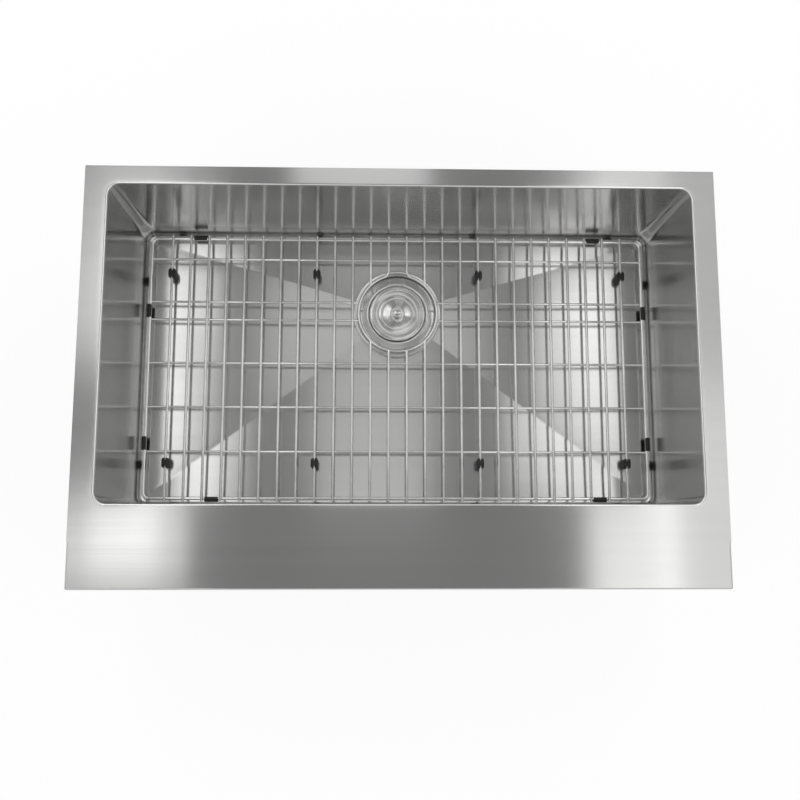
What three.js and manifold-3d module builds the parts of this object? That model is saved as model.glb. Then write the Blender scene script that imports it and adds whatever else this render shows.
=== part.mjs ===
// Farmhouse apron-front kitchen sink: one brushed stainless bowl under a flat deck,
// an apron folded down at the front, a basket strainer in the floor and a lift-out
// wire grid on rubber feet.
// Millimetres. X runs left to right, -Y is the apron side, +Z is up.
// The origin is the middle of the deck's plan, in the plane of its top face.

import * as THREE from 'three';
import { mergeVertices } from 'three/addons/utils/BufferGeometryUtils.js';
import Module from 'manifold-3d';

const wasm = await Module();
wasm.setup();

// ---------------------------------------------------------------- driving sizes

// Sheet metal and fits
const sheet = 1.5;                // 16 gauge stainless sheet
const seat = 0.3;                 // gap left where one piece rests on another
const past = 1;                   // how far a cutter runs past the face it cuts

// Deck and apron
const sideDeck = 31;              // bowl's side wall to the deck's end, for 33 inches over all
const frontDeck = 107;            // apron face to the bowl's front wall
const backDeck = 24.5;            // bowl's back wall to the deck's back edge
const apronHeight = 254;          // 10 inch
const apronBend = 2.5;            // outside radius of the apron's folds
const apronSideReturn = 58;       // how far the apron wraps back at each end
const apronBottomReturn = 25;     // lip folded back under the apron
const leastBend = 0.2;            // inside radius of a fold, at the least

// Bowl
const bowlWidth = 776;            // between the inner faces of the side walls
const bowlLength = 418.5;         // front wall to back wall, inside
const wallDepth = 236;            // deck top to the floor at the foot of a wall
const cornerRadius = 15;          // upright corners, inside
const coveRadius = 12;            // wall to floor, inside
const rimBend = 3;                // top of the wall to the deck, on the top face
const rimLand = 5;                // flat flange between the bend and the weld line
const floorFall = 9;              // fall from the walls to the drain's centre
const cornerSteps = 6;            // facets in each quarter turn of a corner
const bendSteps = 3;              // facets in the rim bend and the folds
const coveSteps = 4;              // facets in the cove

// Drain position and its pressed recess
const drainFromBack = 121;        // bowl's back wall to the drain's centre
const recessTopRadius = 64;
const recessLandRadius = 58.7;
const recessDepth = 4.5;          // below the point that the floor would fall to
const drainHoleRadius = 44.45;    // 3 1/2 inch hole
const roundSteps = 40;            // facets round the pressed recess
const turnedSteps = 32;           // facets round the turned drain pieces
const basketSteps = 24;           // facets round the basket's cup
const smallSteps = 20;            // facets round the knob and stopper
const holeSides = 6;              // facets round the basket's small holes

// Basket strainer body
const flangeRadius = 57.15;       // 4 1/2 inch flange
const flangeRise = 3.4;           // flange crown above the recess land
const flangeLip = 1.1;            // thickness of the flange edge
const flangeEdgeWidth = 2;        // nearly flat outer edge of the flange
const flangeEdgeRise = 0.4;
const mouthRadius = 45.5;         // top of the funnel
const mouthEdge = 2.4;            // width of the crown round the mouth
const mouthRound = 0.5;           // how far the crown rolls over into the mouth
const throatRadius = 40.4;        // foot of the funnel, above the basket's ledge
const funnelDepth = 7;            // land to ledge
const funnelFlare = 0.8;          // throat's widening where the funnel's slope begins
const funnelFlareDepth = 1;       // land to that point
const ledgeWidth = 1.8;           // step that the basket hangs on
const ledgeFall = 0.4;
const cupDepth = 46;              // land to the cup's floor
const cupTaper = 0.8;             // draft of the cup's wall
const cupFootRise = 5;            // round at the foot of the cup's wall
const cupFloorDish = 1.2;         // fall of the cup's floor to the outlet
const outletRadius = 19;          // bore of the waste outlet
const outletFunnel = 4;           // width of the slope into the outlet
const outletFunnelDepth = 3;
const outletLength = 24;          // cup floor to the outlet's end
const outletWall = 4.8;           // outlet's wall with its 1 1/2 inch coupling thread
const outletNeckDrop = 2;         // cup's underside to the outlet's full width
const strainerWall = 1.3;
const threadWall = 2.2;           // body's wall at the locknut's thread
const threadLength = 24;          // land to the end of the thread
const threadChamfer = 1;
const puttyThickness = 0.8;
const puttySetback = 0.8;         // inside the flange's edge
const puttyHoleGap = 1;           // outside the drain hole

// Fastening under the bowl
const gasketThickness = 3;
const gasketRadius = 57;
const washerThickness = 1;
const washerRadius = 56;
const nutHeight = 11;
const nutRadius = 50;
const nutLugReach = 5;
const nutLugWidth = 12;
const nutLugs = 8;
const nutLugRoot = 2;             // how deep a lug sits in the nut's ring
const nutLugDrop = 2;             // nut's top to the lugs' tops
const threadClearance = 0.35;

// Basket
const lidGap = 2.3;               // open ring between the lid and the mouth
const lidStepRadius = 27;
const lidHubRadius = 11;
const lidThickness = 0.9;
const lidRise = 0.2;              // lid's rim above the flange's crown
const lidDish = 3.2;              // how far the middle of the lid sits below its rim
const lidStepWidth = 2;
const lidStepFoot = 1.9;          // foot of the step above the hub
const lidStepTop = 2.4;           // top of the step above the hub
const lidCrownWidth = 4;          // lid's edge to where its rim starts to rise
const lidCrownFall = 0.5;
const lidRollWidth = 1.5;
const lidRollFall = 0.7;
const basketClearance = 0.5;      // basket's rim inside the throat
const basketRadius = 34;
const basketFootRadius = 25;
const basketWall = 0.9;
const basketFootRound = 2;
const basketFlare = 1;            // widening of the wall under the rim
const basketFlareDepth = 3;
const basketMiter = 0.6;          // inner face's shift at each bend of the wall
const sideHoleRadius = 2.4;
const sideHoles = 10;
const sideHoleRows = [-6, 3];     // heights from the middle of the basket's wall
const drillGap = 2;               // hub to the start of each side hole's drill
const floorHoleRadius = 2.2;
const floorHoles = 8;
const floorHoleCircle = 18;
const hubRadius = 5.5;
const postRadius = 3;
const postClearance = 0.4;
const postStep = 0.5;             // shoulder that the stopper is held against
const knobRadius = 7.2;
const knobHeight = 9;
const knobHeadFoot = 6.3;         // knob's foot to the underside of its head
const knobWaistHeight = 4;
const knobWaist = 0.8;            // waist's width over the post
const knobSkirt = 1.2;            // skirt's width over the post
const knobEdge = 1;               // height of the rounding of the head
const knobRound = 1.2;            // width of the rounding of the head
const stopperRadius = 22.5;
const stopperLip = 1.2;           // thickness of the stopper's sealing lip
const stopperPlug = 1.2;          // part of the stopper inside the outlet
const stopperCrown = 1.6;
const stopperPlugGap = 2;         // plug inside the outlet's bore
const stopperCrownInset = 3;      // crown's edge inside the outlet's bore
const stopperLift = 8;            // travel of the knob, post and stopper
const stopperRoom = 2.5;          // left between the raised stopper and the basket

// Bottom grid
const longWire = 4;               // wires that run front to back, and the keyhole ring
const crossWire = 3.5;
const frameWire = 5;
const weldBite = 0.7;             // how far the short cross wires melt into the long ones
const wireSides = 6;
const gridInset = 10.8;           // bowl wall to the frame wire's centre
const gridRise = 19.5;            // long wire's centre above the foot of the walls
const frameCorner = 9;            // frame wire's bend radius at its centre line
const wireEndOverhang = 4.5;      // long wire past the frame wire's centre
const wirePitch = 27.6;
const frameBayMin = 22;           // least gap from the frame wire to the next long wire
const firstCrossFromFront = 69.3;
const firstCrossFromBack = 32.5;
const frontCrossCount = 3;        // full cross wires in front of the keyhole
const crossAheadOfKeyhole = 11.7; // ring's centre to the short cross wire in front of it
const crossBehindKeyhole = 15.8;
const keyholeRadius = 59.7;       // ring's centre line
const keyholeFromBack = 115.2;    // frame's back wire to the ring's centre
const keyholeBend = 12;           // bend from the neck into the ring
const arcStepDegrees = 12;

// Grid feet and bumpers
const footWidth = 11;
const footLength = 15.5;
const footCorner = 4;
const footCap = 3.2;              // foot's top above the wire's centre
const footNotchLength = 3.6;
const footNotchWidth = 4.8;
const channelSides = 8;
const wireGrip = 0.6;             // rubber's bore over a wire's radius, clear of its facets
const footRowFromBack = 55.7;
const footRowFromFront = 52.2;
const innerFootBayCount = 4;      // bays out from the middle pair of wires
const bumperRadius = 3.8;
const bumperOffset = 1.3;         // bumper's axis outside the wire's axis
const bumperLength = 20.5;
const bumperSides = 10;
const backBumperBayCount = 11;    // bays out from the middle
const frontLeftBumperBayCount = 10;
const frontRightBumperBayCount = 11;
const frontSideBumperFromCross = 12.5;

// Sound-deadening pads
const padThickness = 2.5;
const wallPadTop = 60;            // deck top to the pads' top edges
const wallPadHeight = 130;
const backPadWidth = 560;
const sidePadLength = 220;
const bottomSidePadWidth = 160;
const bottomSidePadLength = 180;
const bottomSidePadFromWall = 42;
const bottomSidePadOffset = -42;  // middle of the pad from the drain, along Y
const bottomFrontPadWidth = 270;
const bottomFrontPadLength = 140;
const bottomFrontPadFromWall = 28;

// ---------------------------------------------------------------- derived places

const deckWidth = bowlWidth + 2 * sideDeck;
const deckLength = frontDeck + bowlLength + backDeck;
const deckFront = -deckLength / 2;
const deckBack = deckLength / 2;
const bowlHalf = bowlWidth / 2;
const bowlFront = deckFront + frontDeck;
const bowlBack = bowlFront + bowlLength;
const rimReach = rimBend + rimLand;
const drainY = bowlBack - drainFromBack;
const floorHalf = bowlHalf - coveRadius;
const floorFront = bowlFront + coveRadius;
const floorBack = bowlBack - coveRadius;
const landZ = -wallDepth - floorFall - recessDepth;
const ledgeZ = landZ - funnelDepth;
const cupFloorZ = landZ - cupDepth;
const outletEndZ = cupFloorZ - outletLength;
const underLandZ = landZ - sheet;
const cupRadius = throatRadius - ledgeWidth;
const threadRadius = throatRadius + threadWall;
const lidRadius = mouthRadius - lidGap;
const lidRimZ = landZ + flangeRise + lidRise;
const lidHubZ = lidRimZ - lidDish;
const basketRimZ = ledgeZ + seat;
const basketRimRadius = throatRadius - basketClearance;
const stopperTopZ = cupFloorZ + stopperLip + stopperCrown;
const basketFloorZ = stopperTopZ + stopperLift + stopperRoom;
const postBore = postRadius + postClearance;

const longZ = -wallDepth + gridRise;
const crossZ = longZ - (longWire + crossWire) / 2 - seat;
const shortCrossZ = longZ - (longWire + crossWire) / 2 + weldBite;
const frameZ = longZ - (longWire + frameWire) / 2 - seat;
const frameHalf = bowlHalf - gridInset;
const frameFront = bowlFront + gridInset;
const frameBack = bowlBack - gridInset;
const longFront = frameFront - wireEndOverhang;
const longBack = frameBack + wireEndOverhang;
const wireCorner = 1 / Math.cos(Math.PI / wireSides);
const crossHalf = frameHalf - (frameWire / 2) * wireCorner - seat;
const keyholeY = frameBack - keyholeFromBack;
const ringOuter = keyholeRadius + (longWire / 2) * wireCorner;

// ---------------------------------------------------------------- finishes

const finish = {
  steel: { color: 0xb9bab8, roughness: 0.34, metalness: 1 },
  wire: { color: 0xd2d3d1, roughness: 0.22, metalness: 1 },
  polished: { color: 0xc6c6c4, roughness: 0.16, metalness: 1 },
  pad: { color: 0x4a4b4c, roughness: 0.9, metalness: 0 },
  rubber: { color: 0x151515, roughness: 0.6, metalness: 0 },
  fibre: { color: 0xb79a6c, roughness: 0.9, metalness: 0 },
  brass: { color: 0xa9a79f, roughness: 0.4, metalness: 1 },
  putty: { color: 0xbdb8aa, roughness: 0.85, metalness: 0 },
};

const sink = new THREE.Group();

function addPiece(name, look, geometry) {
  const mesh = new THREE.Mesh(geometry, new THREE.MeshStandardMaterial(finish[look]));
  mesh.name = name;
  sink.add(mesh);
  return mesh;
}

// ---------------------------------------------------------------- solids and cuts

// A closed geometry as a solid that can be joined and cut.
function solidOf(geometry) {
  const bare = geometry.clone();
  bare.deleteAttribute('normal');
  bare.deleteAttribute('uv');
  const merged = mergeVertices(bare, 1e-4);
  const vertProperties = new Float32Array(merged.attributes.position.array);
  const triVerts = new Uint32Array(merged.index.array);
  return new wasm.Manifold(new wasm.Mesh({ numProp: 3, vertProperties, triVerts }));
}

// A solid back as a geometry with flat-shaded faces.
function geometryOf(solid) {
  const mesh = solid.getMesh();
  const indexed = new THREE.BufferGeometry();
  indexed.setAttribute('position', new THREE.BufferAttribute(mesh.vertProperties, 3));
  indexed.setIndex(new THREE.BufferAttribute(mesh.triVerts, 1));
  const flat = indexed.toNonIndexed();
  flat.computeVertexNormals();
  return flat;
}

function joined(solids) {
  return solids.reduce((whole, solid) => whole.add(solid));
}

// ---------------------------------------------------------------- shape helpers

const quarterTurn = 90;           // degrees
const halfTurn = 2 * quarterTurn;

// A box between two corners.
function boxBetween(low, high) {
  const size = high.map((value, axis) => value - low[axis]);
  const box = new THREE.BoxGeometry(...size);
  box.translate(...high.map((value, axis) => (value + low[axis]) / 2));
  return box;
}

// A lathe turned about the upright line through the drain's centre.
function turned(profile, steps = turnedSteps) {
  const points = profile.map(([radius, z]) => new THREE.Vector2(radius, z));
  if (THREE.ShapeUtils.area(points) < 0) {
    points.reverse();
  }
  points.push(points[0].clone());
  const lathe = new THREE.LatheGeometry(points, steps);
  lathe.rotateX(Math.PI / 2);
  lathe.translate(0, drainY, 0);
  return lathe;
}

// An upright cylinder from one height to another.
function uprightCylinder(radius, x, y, low, high, steps) {
  const cylinder = new THREE.CylinderGeometry(radius, radius, high - low, steps);
  cylinder.rotateX(Math.PI / 2);
  cylinder.translate(x, y, (low + high) / 2);
  return cylinder;
}

// The corners of a rectangle with rounded corners, counter-clockwise from above.
function roundedRing(grow, radius, z) {
  const ring = [];
  const halfX = bowlHalf + grow - radius;
  const front = bowlFront - grow + radius;
  const back = bowlBack + grow - radius;
  const centres = [
    [halfX, front, -quarterTurn],
    [halfX, back, 0],
    [-halfX, back, quarterTurn],
    [-halfX, front, halfTurn],
  ];
  for (const [x, y, start] of centres) {
    for (let step = 0; step <= cornerSteps; step += 1) {
      const angle = THREE.MathUtils.degToRad(start + (quarterTurn * step) / cornerSteps);
      ring.push(new THREE.Vector3(x + radius * Math.cos(angle), y + radius * Math.sin(angle), z));
    }
  }
  return ring;
}

// Height of the pitched floor: four flat panels that meet in creases at the drain.
function floorHeight(x, y) {
  const side = Math.abs(x) / floorHalf;
  const back = (y - drainY) / (floorBack - drainY);
  const front = (drainY - y) / (drainY - floorFront);
  const share = Math.min(1, Math.max(side, back, front));
  return -wallDepth - floorFall * (1 - share);
}

// Directions round the drain, with one exactly on each crease.
function drainAngles() {
  const angles = [];
  for (let step = 0; step < roundSteps; step += 1) {
    angles.push((2 * Math.PI * step) / roundSteps - Math.PI / 2);
  }
  for (const x of [-floorHalf, floorHalf]) {
    for (const y of [floorFront, floorBack]) {
      const crease = Math.atan2(y - drainY, x);
      const turns = angles.map((angle) => Math.abs(Math.sin((angle - crease) / 2)));
      angles[turns.indexOf(Math.min(...turns))] = crease;
    }
  }
  return angles;
}

// A circle round the drain; height is a number or a function of x and y.
function drainRing(radius, height) {
  return drainAngles().map((angle) => {
    const x = radius * Math.cos(angle);
    const y = drainY + radius * Math.sin(angle);
    const z = typeof height === 'number' ? height : height(x, y);
    return new THREE.Vector3(x, y, z);
  });
}

// Turns a ring so that it starts just past straight back from the drain.
function startAtBack(ring) {
  const angleOf = (point) => {
    const angle = Math.atan2(point.y - drainY, point.x) - Math.PI / 2;
    return (angle + 2 * Math.PI + 1e-9) % (2 * Math.PI);
  };
  return ring
    .map((point) => ({ point, angle: angleOf(point) }))
    .sort((one, other) => one.angle - other.angle);
}

// A closed body through rings stacked from top to bottom, capped at both ends.
// Two rings with different counts are stitched in order of angle round the drain.
function stackedRings(rings) {
  const positions = [];
  const triangles = [];
  const starts = [];
  for (const ring of rings) {
    starts.push(positions.length / 3);
    ring.forEach(({ point }) => positions.push(point.x, point.y, point.z));
  }
  for (let level = 0; level + 1 < rings.length; level += 1) {
    const upper = rings[level];
    const lower = rings[level + 1];
    let i = 0;
    let j = 0;
    while (i < upper.length || j < lower.length) {
      const nextUpper = i < upper.length ? (upper[i + 1]?.angle ?? 2 * Math.PI) : Infinity;
      const nextLower = j < lower.length ? (lower[j + 1]?.angle ?? 2 * Math.PI) : Infinity;
      const a = starts[level] + (i % upper.length);
      const b = starts[level + 1] + (j % lower.length);
      if (nextUpper <= nextLower) {
        triangles.push(a, b, starts[level] + ((i + 1) % upper.length));
        i += 1;
      } else {
        triangles.push(a, b, starts[level + 1] + ((j + 1) % lower.length));
        j += 1;
      }
    }
  }
  capRing(rings[0], starts[0], true, positions, triangles);
  capRing(rings.at(-1), starts.at(-1), false, positions, triangles);
  const body = new THREE.BufferGeometry();
  body.setAttribute('position', new THREE.Float32BufferAttribute(positions, 3));
  body.setIndex(triangles);
  return body;
}

// Closes a ring with a fan of triangles from a point over the drain.
function capRing(ring, start, facesUp, positions, triangles) {
  const middle = positions.length / 3;
  positions.push(0, drainY, ring[0].point.z);
  for (let step = 0; step < ring.length; step += 1) {
    const here = start + step;
    const next = start + ((step + 1) % ring.length);
    if (facesUp) {
      triangles.push(middle, here, next);
    } else {
      triangles.push(middle, next, here);
    }
  }
}

// A round wire along a flat path in X and Y at one height.
function wireAlong(path, diameter, height, closed = false) {
  const count = path.length;
  const positions = [];
  const triangles = [];
  const reach = (diameter / 2) * wireCorner;
  path.forEach((point, index) => {
    const before = path[closed ? (index + count - 1) % count : Math.max(index - 1, 0)];
    const after = path[closed ? (index + 1) % count : Math.min(index + 1, count - 1)];
    const along = after.clone().sub(before).normalize();
    for (let side = 0; side < wireSides; side += 1) {
      const angle = (2 * Math.PI * side) / wireSides;
      const out = reach * Math.cos(angle);
      const up = reach * Math.sin(angle);
      positions.push(point.x + along.y * out, point.y - along.x * out, height + up);
    }
  });
  const spans = closed ? count : count - 1;
  for (let index = 0; index < spans; index += 1) {
    const here = index * wireSides;
    const there = ((index + 1) % count) * wireSides;
    for (let side = 0; side < wireSides; side += 1) {
      const next = (side + 1) % wireSides;
      triangles.push(here + side, there + side, there + next);
      triangles.push(here + side, there + next, here + next);
    }
  }
  if (!closed) {
    const last = (count - 1) * wireSides;
    for (let side = 1; side + 1 < wireSides; side += 1) {
      triangles.push(0, side, side + 1);
      triangles.push(last, last + side + 1, last + side);
    }
  }
  const wire = new THREE.BufferGeometry();
  wire.setAttribute('position', new THREE.Float32BufferAttribute(positions, 3));
  wire.setIndex(triangles);
  return wire;
}

// Points on an arc, from one direction to another in degrees.
function arcPoints(x, y, radius, from, to) {
  const steps = Math.max(2, Math.ceil(Math.abs(to - from) / arcStepDegrees));
  const points = [];
  for (let step = 0; step <= steps; step += 1) {
    const angle = THREE.MathUtils.degToRad(from + ((to - from) * step) / steps);
    points.push(new THREE.Vector2(x + radius * Math.cos(angle), y + radius * Math.sin(angle)));
  }
  return points;
}

// ---------------------------------------------------------------- deck and apron

// A rectangle as a shape, with the corners named in `rounded` turned to a radius.
function cornerShape(left, right, low, high, radius, rounded) {
  const outline = [];
  const corners = [
    ['lowLeft', left + radius, low + radius, halfTurn, left, low],
    ['lowRight', right - radius, low + radius, 3 * quarterTurn, right, low],
    ['highRight', right - radius, high - radius, 0, right, high],
    ['highLeft', left + radius, high - radius, quarterTurn, left, high],
  ];
  for (const [name, x, y, start, sharpX, sharpY] of corners) {
    if (!rounded.includes(name)) {
      outline.push(new THREE.Vector2(sharpX, sharpY));
      continue;
    }
    for (let step = 0; step <= bendSteps; step += 1) {
      const angle = THREE.MathUtils.degToRad(start + (quarterTurn * step) / bendSteps);
      outline.push(new THREE.Vector2(x + radius * Math.cos(angle), y + radius * Math.sin(angle)));
    }
  }
  return new THREE.Shape(outline);
}

// The block that the apron's sheet is folded round, shrunk by `inset` on every side.
function apronBlock(inset, backY) {
  const half = deckWidth / 2 - inset;
  const front = deckFront + inset;
  const low = -apronHeight + inset;
  const high = -inset;
  const radius = Math.max(apronBend - inset, leastBend);
  const length = backY - front;

  const acrossShape = cornerShape(-half, half, low, high, radius, ['highLeft', 'highRight']);
  const across = new THREE.ExtrudeGeometry(acrossShape, { depth: length, bevelEnabled: false });
  across.rotateX(Math.PI / 2);
  across.translate(0, backY, 0);

  const sideShape = cornerShape(front, backY, low, high, radius, ['lowLeft', 'highLeft']);
  const side = new THREE.ExtrudeGeometry(sideShape, { depth: 2 * half, bevelEnabled: false });
  side.rotateX(Math.PI / 2);
  side.rotateZ(Math.PI / 2);
  side.translate(-half, 0, 0);

  const planShape = cornerShape(-half, half, front, backY, radius, ['lowLeft', 'lowRight']);
  const plan = new THREE.ExtrudeGeometry(planShape, { depth: high - low, bevelEnabled: false });
  plan.translate(0, 0, low);

  return solidOf(across).intersect(solidOf(side)).intersect(solidOf(plan));
}

function deckAndApron() {
  const half = deckWidth / 2;
  const returnBack = deckFront + apronSideReturn;
  const lipBack = deckFront + apronBottomReturn;
  const foldedFront = apronBlock(0, returnBack);
  const hollow = apronBlock(sheet, returnBack + past);
  const openUnder = boxBetween(
    [-half + sheet, lipBack, -apronHeight - past],
    [half - sheet, returnBack + past, -apronHeight / 2],
  );
  const plate = boxBetween([-half, deckFront + apronBend, -sheet], [half, deckBack, 0]);
  const plateTrim = boxBetween(
    [-half - past, deckFront, -sheet - past],
    [half + past, returnBack, past],
  );
  const flatDeck = solidOf(plate).subtract(solidOf(plateTrim));
  const grow = rimReach + seat;
  const opening = stackedRings([
    startAtBack(roundedRing(grow, cornerRadius + grow, past)),
    startAtBack(roundedRing(grow, cornerRadius + grow, -sheet - past)),
  ]);
  const folded = foldedFront.subtract(hollow).subtract(solidOf(openUnder));
  return geometryOf(folded.add(flatDeck).subtract(solidOf(opening)));
}

// ---------------------------------------------------------------- bowl

// Rings of the bowl's inner face, or of its outer face when `out` is the sheet.
function bowlRings(out, topZ, topGrow) {
  const rings = [];
  rings.push(roundedRing(topGrow, cornerRadius + topGrow, topZ));
  if (out === 0) {
    for (let step = 0; step <= bendSteps; step += 1) {
      const angle = (Math.PI / 2) * (1 - step / bendSteps);
      const grow = rimBend * (1 - Math.cos(angle));
      const fall = rimBend * (1 - Math.sin(angle));
      rings.push(roundedRing(grow, cornerRadius + grow, -fall));
    }
  }
  const cove = coveRadius + out;
  const floorZ = -wallDepth - out;
  for (let step = 0; step <= coveSteps; step += 1) {
    const angle = (Math.PI / 2) * (step / coveSteps);
    const inset = cove * (1 - Math.cos(angle));
    const z = floorZ + cove * (1 - Math.sin(angle));
    rings.push(roundedRing(out - inset, cornerRadius + out - inset, z));
  }
  rings.push(drainRing(recessTopRadius + out, (x, y) => floorHeight(x, y) - out));
  rings.push(drainRing(recessLandRadius + out, landZ - out));
  return rings;
}

function bowl() {
  const outer = bowlRings(sheet, -sheet / 2, sheet).map(startAtBack);
  const inner = bowlRings(0, past, rimBend);
  inner.push(drainRing(drainHoleRadius, landZ));
  inner.push(drainRing(drainHoleRadius, landZ - sheet - past));
  const flange = [
    roundedRing(rimReach, cornerRadius + rimReach, 0),
    roundedRing(rimReach, cornerRadius + rimReach, -sheet),
  ].map(startAtBack);
  const skin = solidOf(stackedRings(flange)).add(solidOf(stackedRings(outer)));
  return geometryOf(skin.subtract(solidOf(stackedRings(inner.map(startAtBack)))));
}

// ---------------------------------------------------------------- drain

function strainerBody() {
  const underFlange = landZ + seat + puttyThickness + seat;
  const edgeTop = underFlange + flangeLip;
  const crown = landZ + flangeRise;
  const neckRadius = drainHoleRadius - seat;
  const threadEnd = landZ - threadLength;
  return turned([
    [flangeRadius, underFlange],
    [flangeRadius, edgeTop],
    [flangeRadius - flangeEdgeWidth, edgeTop + flangeEdgeRise],
    [mouthRadius + mouthEdge, crown],
    [mouthRadius, crown - mouthRound],
    [throatRadius + funnelFlare, landZ - funnelFlareDepth],
    [throatRadius, ledgeZ],
    [cupRadius, ledgeZ - ledgeFall],
    [cupRadius - cupTaper, cupFloorZ + cupFootRise],
    [cupRadius - cupFootRise, cupFloorZ + cupFloorDish],
    [outletRadius + outletFunnel, cupFloorZ],
    [outletRadius, cupFloorZ - outletFunnelDepth],
    [outletRadius, outletEndZ],
    [outletRadius + outletWall, outletEndZ],
    [outletRadius + outletWall, cupFloorZ - strainerWall - outletNeckDrop],
    [cupRadius - cupFootRise + strainerWall, cupFloorZ - strainerWall],
    [cupRadius - cupTaper + strainerWall, cupFloorZ + cupFootRise - strainerWall],
    [cupRadius + strainerWall, threadEnd - threadChamfer],
    [threadRadius, threadEnd],
    [threadRadius, underLandZ],
    [neckRadius, underLandZ],
    [neckRadius, underFlange],
  ]);
}

// A flat ring between two radii and two heights.
function flatRing(inner, outer, low, high) {
  return turned([[inner, low], [outer, low], [outer, high], [inner, high]]);
}

function locknut(top) {
  const bore = threadRadius + threadClearance;
  const low = top - nutHeight;
  const ring = solidOf(flatRing(bore, nutRadius, low, top));
  const lugs = [];
  for (let index = 0; index < nutLugs; index += 1) {
    const lug = boxBetween(
      [nutRadius - nutLugRoot, -nutLugWidth / 2, low],
      [nutRadius + nutLugReach, nutLugWidth / 2, top - nutLugDrop],
    );
    lug.rotateZ((2 * Math.PI * (index + 0.5)) / nutLugs);
    lug.translate(0, drainY, 0);
    lugs.push(solidOf(lug));
  }
  return geometryOf(joined([ring, ...lugs]));
}

// Pressed lid: a rolled rim, a shallow dish with one step, and a flat hub.
function basketLid() {
  const top = [
    [postBore, lidHubZ],
    [lidHubRadius, lidHubZ],
    [lidStepRadius - lidStepWidth, lidHubZ + lidStepFoot],
    [lidStepRadius, lidHubZ + lidStepTop],
    [lidRadius - lidCrownWidth, lidRimZ - lidCrownFall],
    [lidRadius - lidRollWidth, lidRimZ],
    [lidRadius, lidRimZ - lidRollFall],
  ];
  const under = top.map(([radius, z]) => [radius, z - lidThickness]).reverse();
  return turned([...top, ...under]);
}

// Small holes for the basket, drilled through its wall and its floor.
function basketHoles() {
  const holes = [];
  const middle = (basketRimZ + basketFloorZ) / 2;
  const drill = basketRadius;
  for (const row of sideHoleRows) {
    for (let index = 0; index < sideHoles; index += 1) {
      const hole = new THREE.CylinderGeometry(sideHoleRadius, sideHoleRadius, drill, holeSides);
      hole.rotateZ(Math.PI / 2);
      hole.translate(hubRadius + drillGap + drill / 2, 0, middle + row);
      hole.rotateZ((2 * Math.PI * index) / sideHoles);
      hole.translate(0, drainY, 0);
      holes.push(solidOf(hole));
    }
  }
  for (let index = 0; index < floorHoles; index += 1) {
    const angle = (2 * Math.PI * index) / floorHoles;
    const x = floorHoleCircle * Math.cos(angle);
    const y = drainY + floorHoleCircle * Math.sin(angle);
    const low = basketFloorZ - past;
    const high = basketFloorZ + basketWall + past;
    holes.push(solidOf(uprightCylinder(floorHoleRadius, x, y, low, high, holeSides)));
  }
  return holes;
}

// Perforated cup that hangs on the strainer's ledge, with a hub for the post.
function basketCup() {
  const hubTop = lidHubZ - lidThickness - seat;
  const shell = turned([
    [postBore, basketFloorZ],
    [basketFootRadius - basketFootRound, basketFloorZ],
    [basketFootRadius, basketFloorZ + basketFootRound],
    [basketRadius, basketRimZ - basketFlareDepth],
    [basketRadius + basketFlare, basketRimZ],
    [basketRimRadius, basketRimZ],
    [basketRimRadius, basketRimZ + basketWall],
    [basketRadius + basketFlare - basketMiter, basketRimZ + basketWall],
    [basketRadius - basketWall, basketRimZ - basketFlareDepth + basketMiter],
    [basketFootRadius - basketWall, basketFloorZ + basketFootRound + basketMiter],
    [basketFootRadius - basketFootRound - basketMiter, basketFloorZ + basketWall],
    [hubRadius, basketFloorZ + basketWall],
    [hubRadius, hubTop],
    [postBore, hubTop],
  ], basketSteps);
  return geometryOf(solidOf(shell).subtract(joined(basketHoles())));
}

// Knob and post in one turned piece; the post ends in the rubber stopper.
function knobAndPost() {
  const foot = lidHubZ + seat;
  const top = foot + knobHeight;
  const tip = cupFloorZ;
  return turned([
    [0, tip],
    [postRadius - postStep, tip],
    [postRadius - postStep, stopperTopZ + seat],
    [postRadius, stopperTopZ + seat],
    [postRadius, foot],
    [postRadius + knobSkirt, foot],
    [postRadius + knobWaist, foot + knobWaistHeight],
    [knobRadius, foot + knobHeadFoot],
    [knobRadius, top - knobEdge],
    [knobRadius - knobRound, top],
    [0, top],
  ], smallSteps);
}

// Rubber disc that closes the outlet; its lip rests on the slope round the outlet.
function rubberStopper() {
  const bore = postRadius - postStep + seat;
  const plug = cupFloorZ - stopperPlug;
  return turned([
    [bore, plug],
    [outletRadius - stopperPlugGap, plug],
    [stopperRadius, cupFloorZ],
    [stopperRadius, cupFloorZ + stopperLip],
    [outletRadius - stopperCrownInset, stopperTopZ],
    [bore, stopperTopZ],
  ], smallSteps);
}

function addDrain() {
  const puttyTop = landZ + seat + puttyThickness;
  addPiece('strainer_body', 'polished', strainerBody());
  const puttyInner = drainHoleRadius + puttyHoleGap;
  const puttyOuter = flangeRadius - puttySetback;
  addPiece('flange_seal', 'putty', flatRing(puttyInner, puttyOuter, landZ + seat, puttyTop));

  const bore = threadRadius + threadClearance;
  const gasketTop = underLandZ - seat;
  const gasketLow = gasketTop - gasketThickness;
  addPiece('under_sink_gasket', 'rubber', flatRing(bore, gasketRadius, gasketLow, gasketTop));
  const washerTop = gasketLow - seat;
  const washerLow = washerTop - washerThickness;
  addPiece('friction_washer', 'fibre', flatRing(bore, washerRadius, washerLow, washerTop));
  addPiece('strainer_locknut', 'brass', locknut(washerLow - seat));

  addPiece('basket_lid', 'polished', basketLid());
  addPiece('basket_cup', 'polished', basketCup());
  addPiece('basket_knob', 'polished', knobAndPost());
  addPiece('basket_stopper', 'rubber', rubberStopper());
}

// ---------------------------------------------------------------- bottom grid

// X of each long wire on the right half; the left half mirrors it.
function longWirePlaces() {
  const places = [];
  for (let x = wirePitch / 2; x < frameHalf - frameBayMin; x += wirePitch) {
    places.push(x);
  }
  return places;
}

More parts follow.
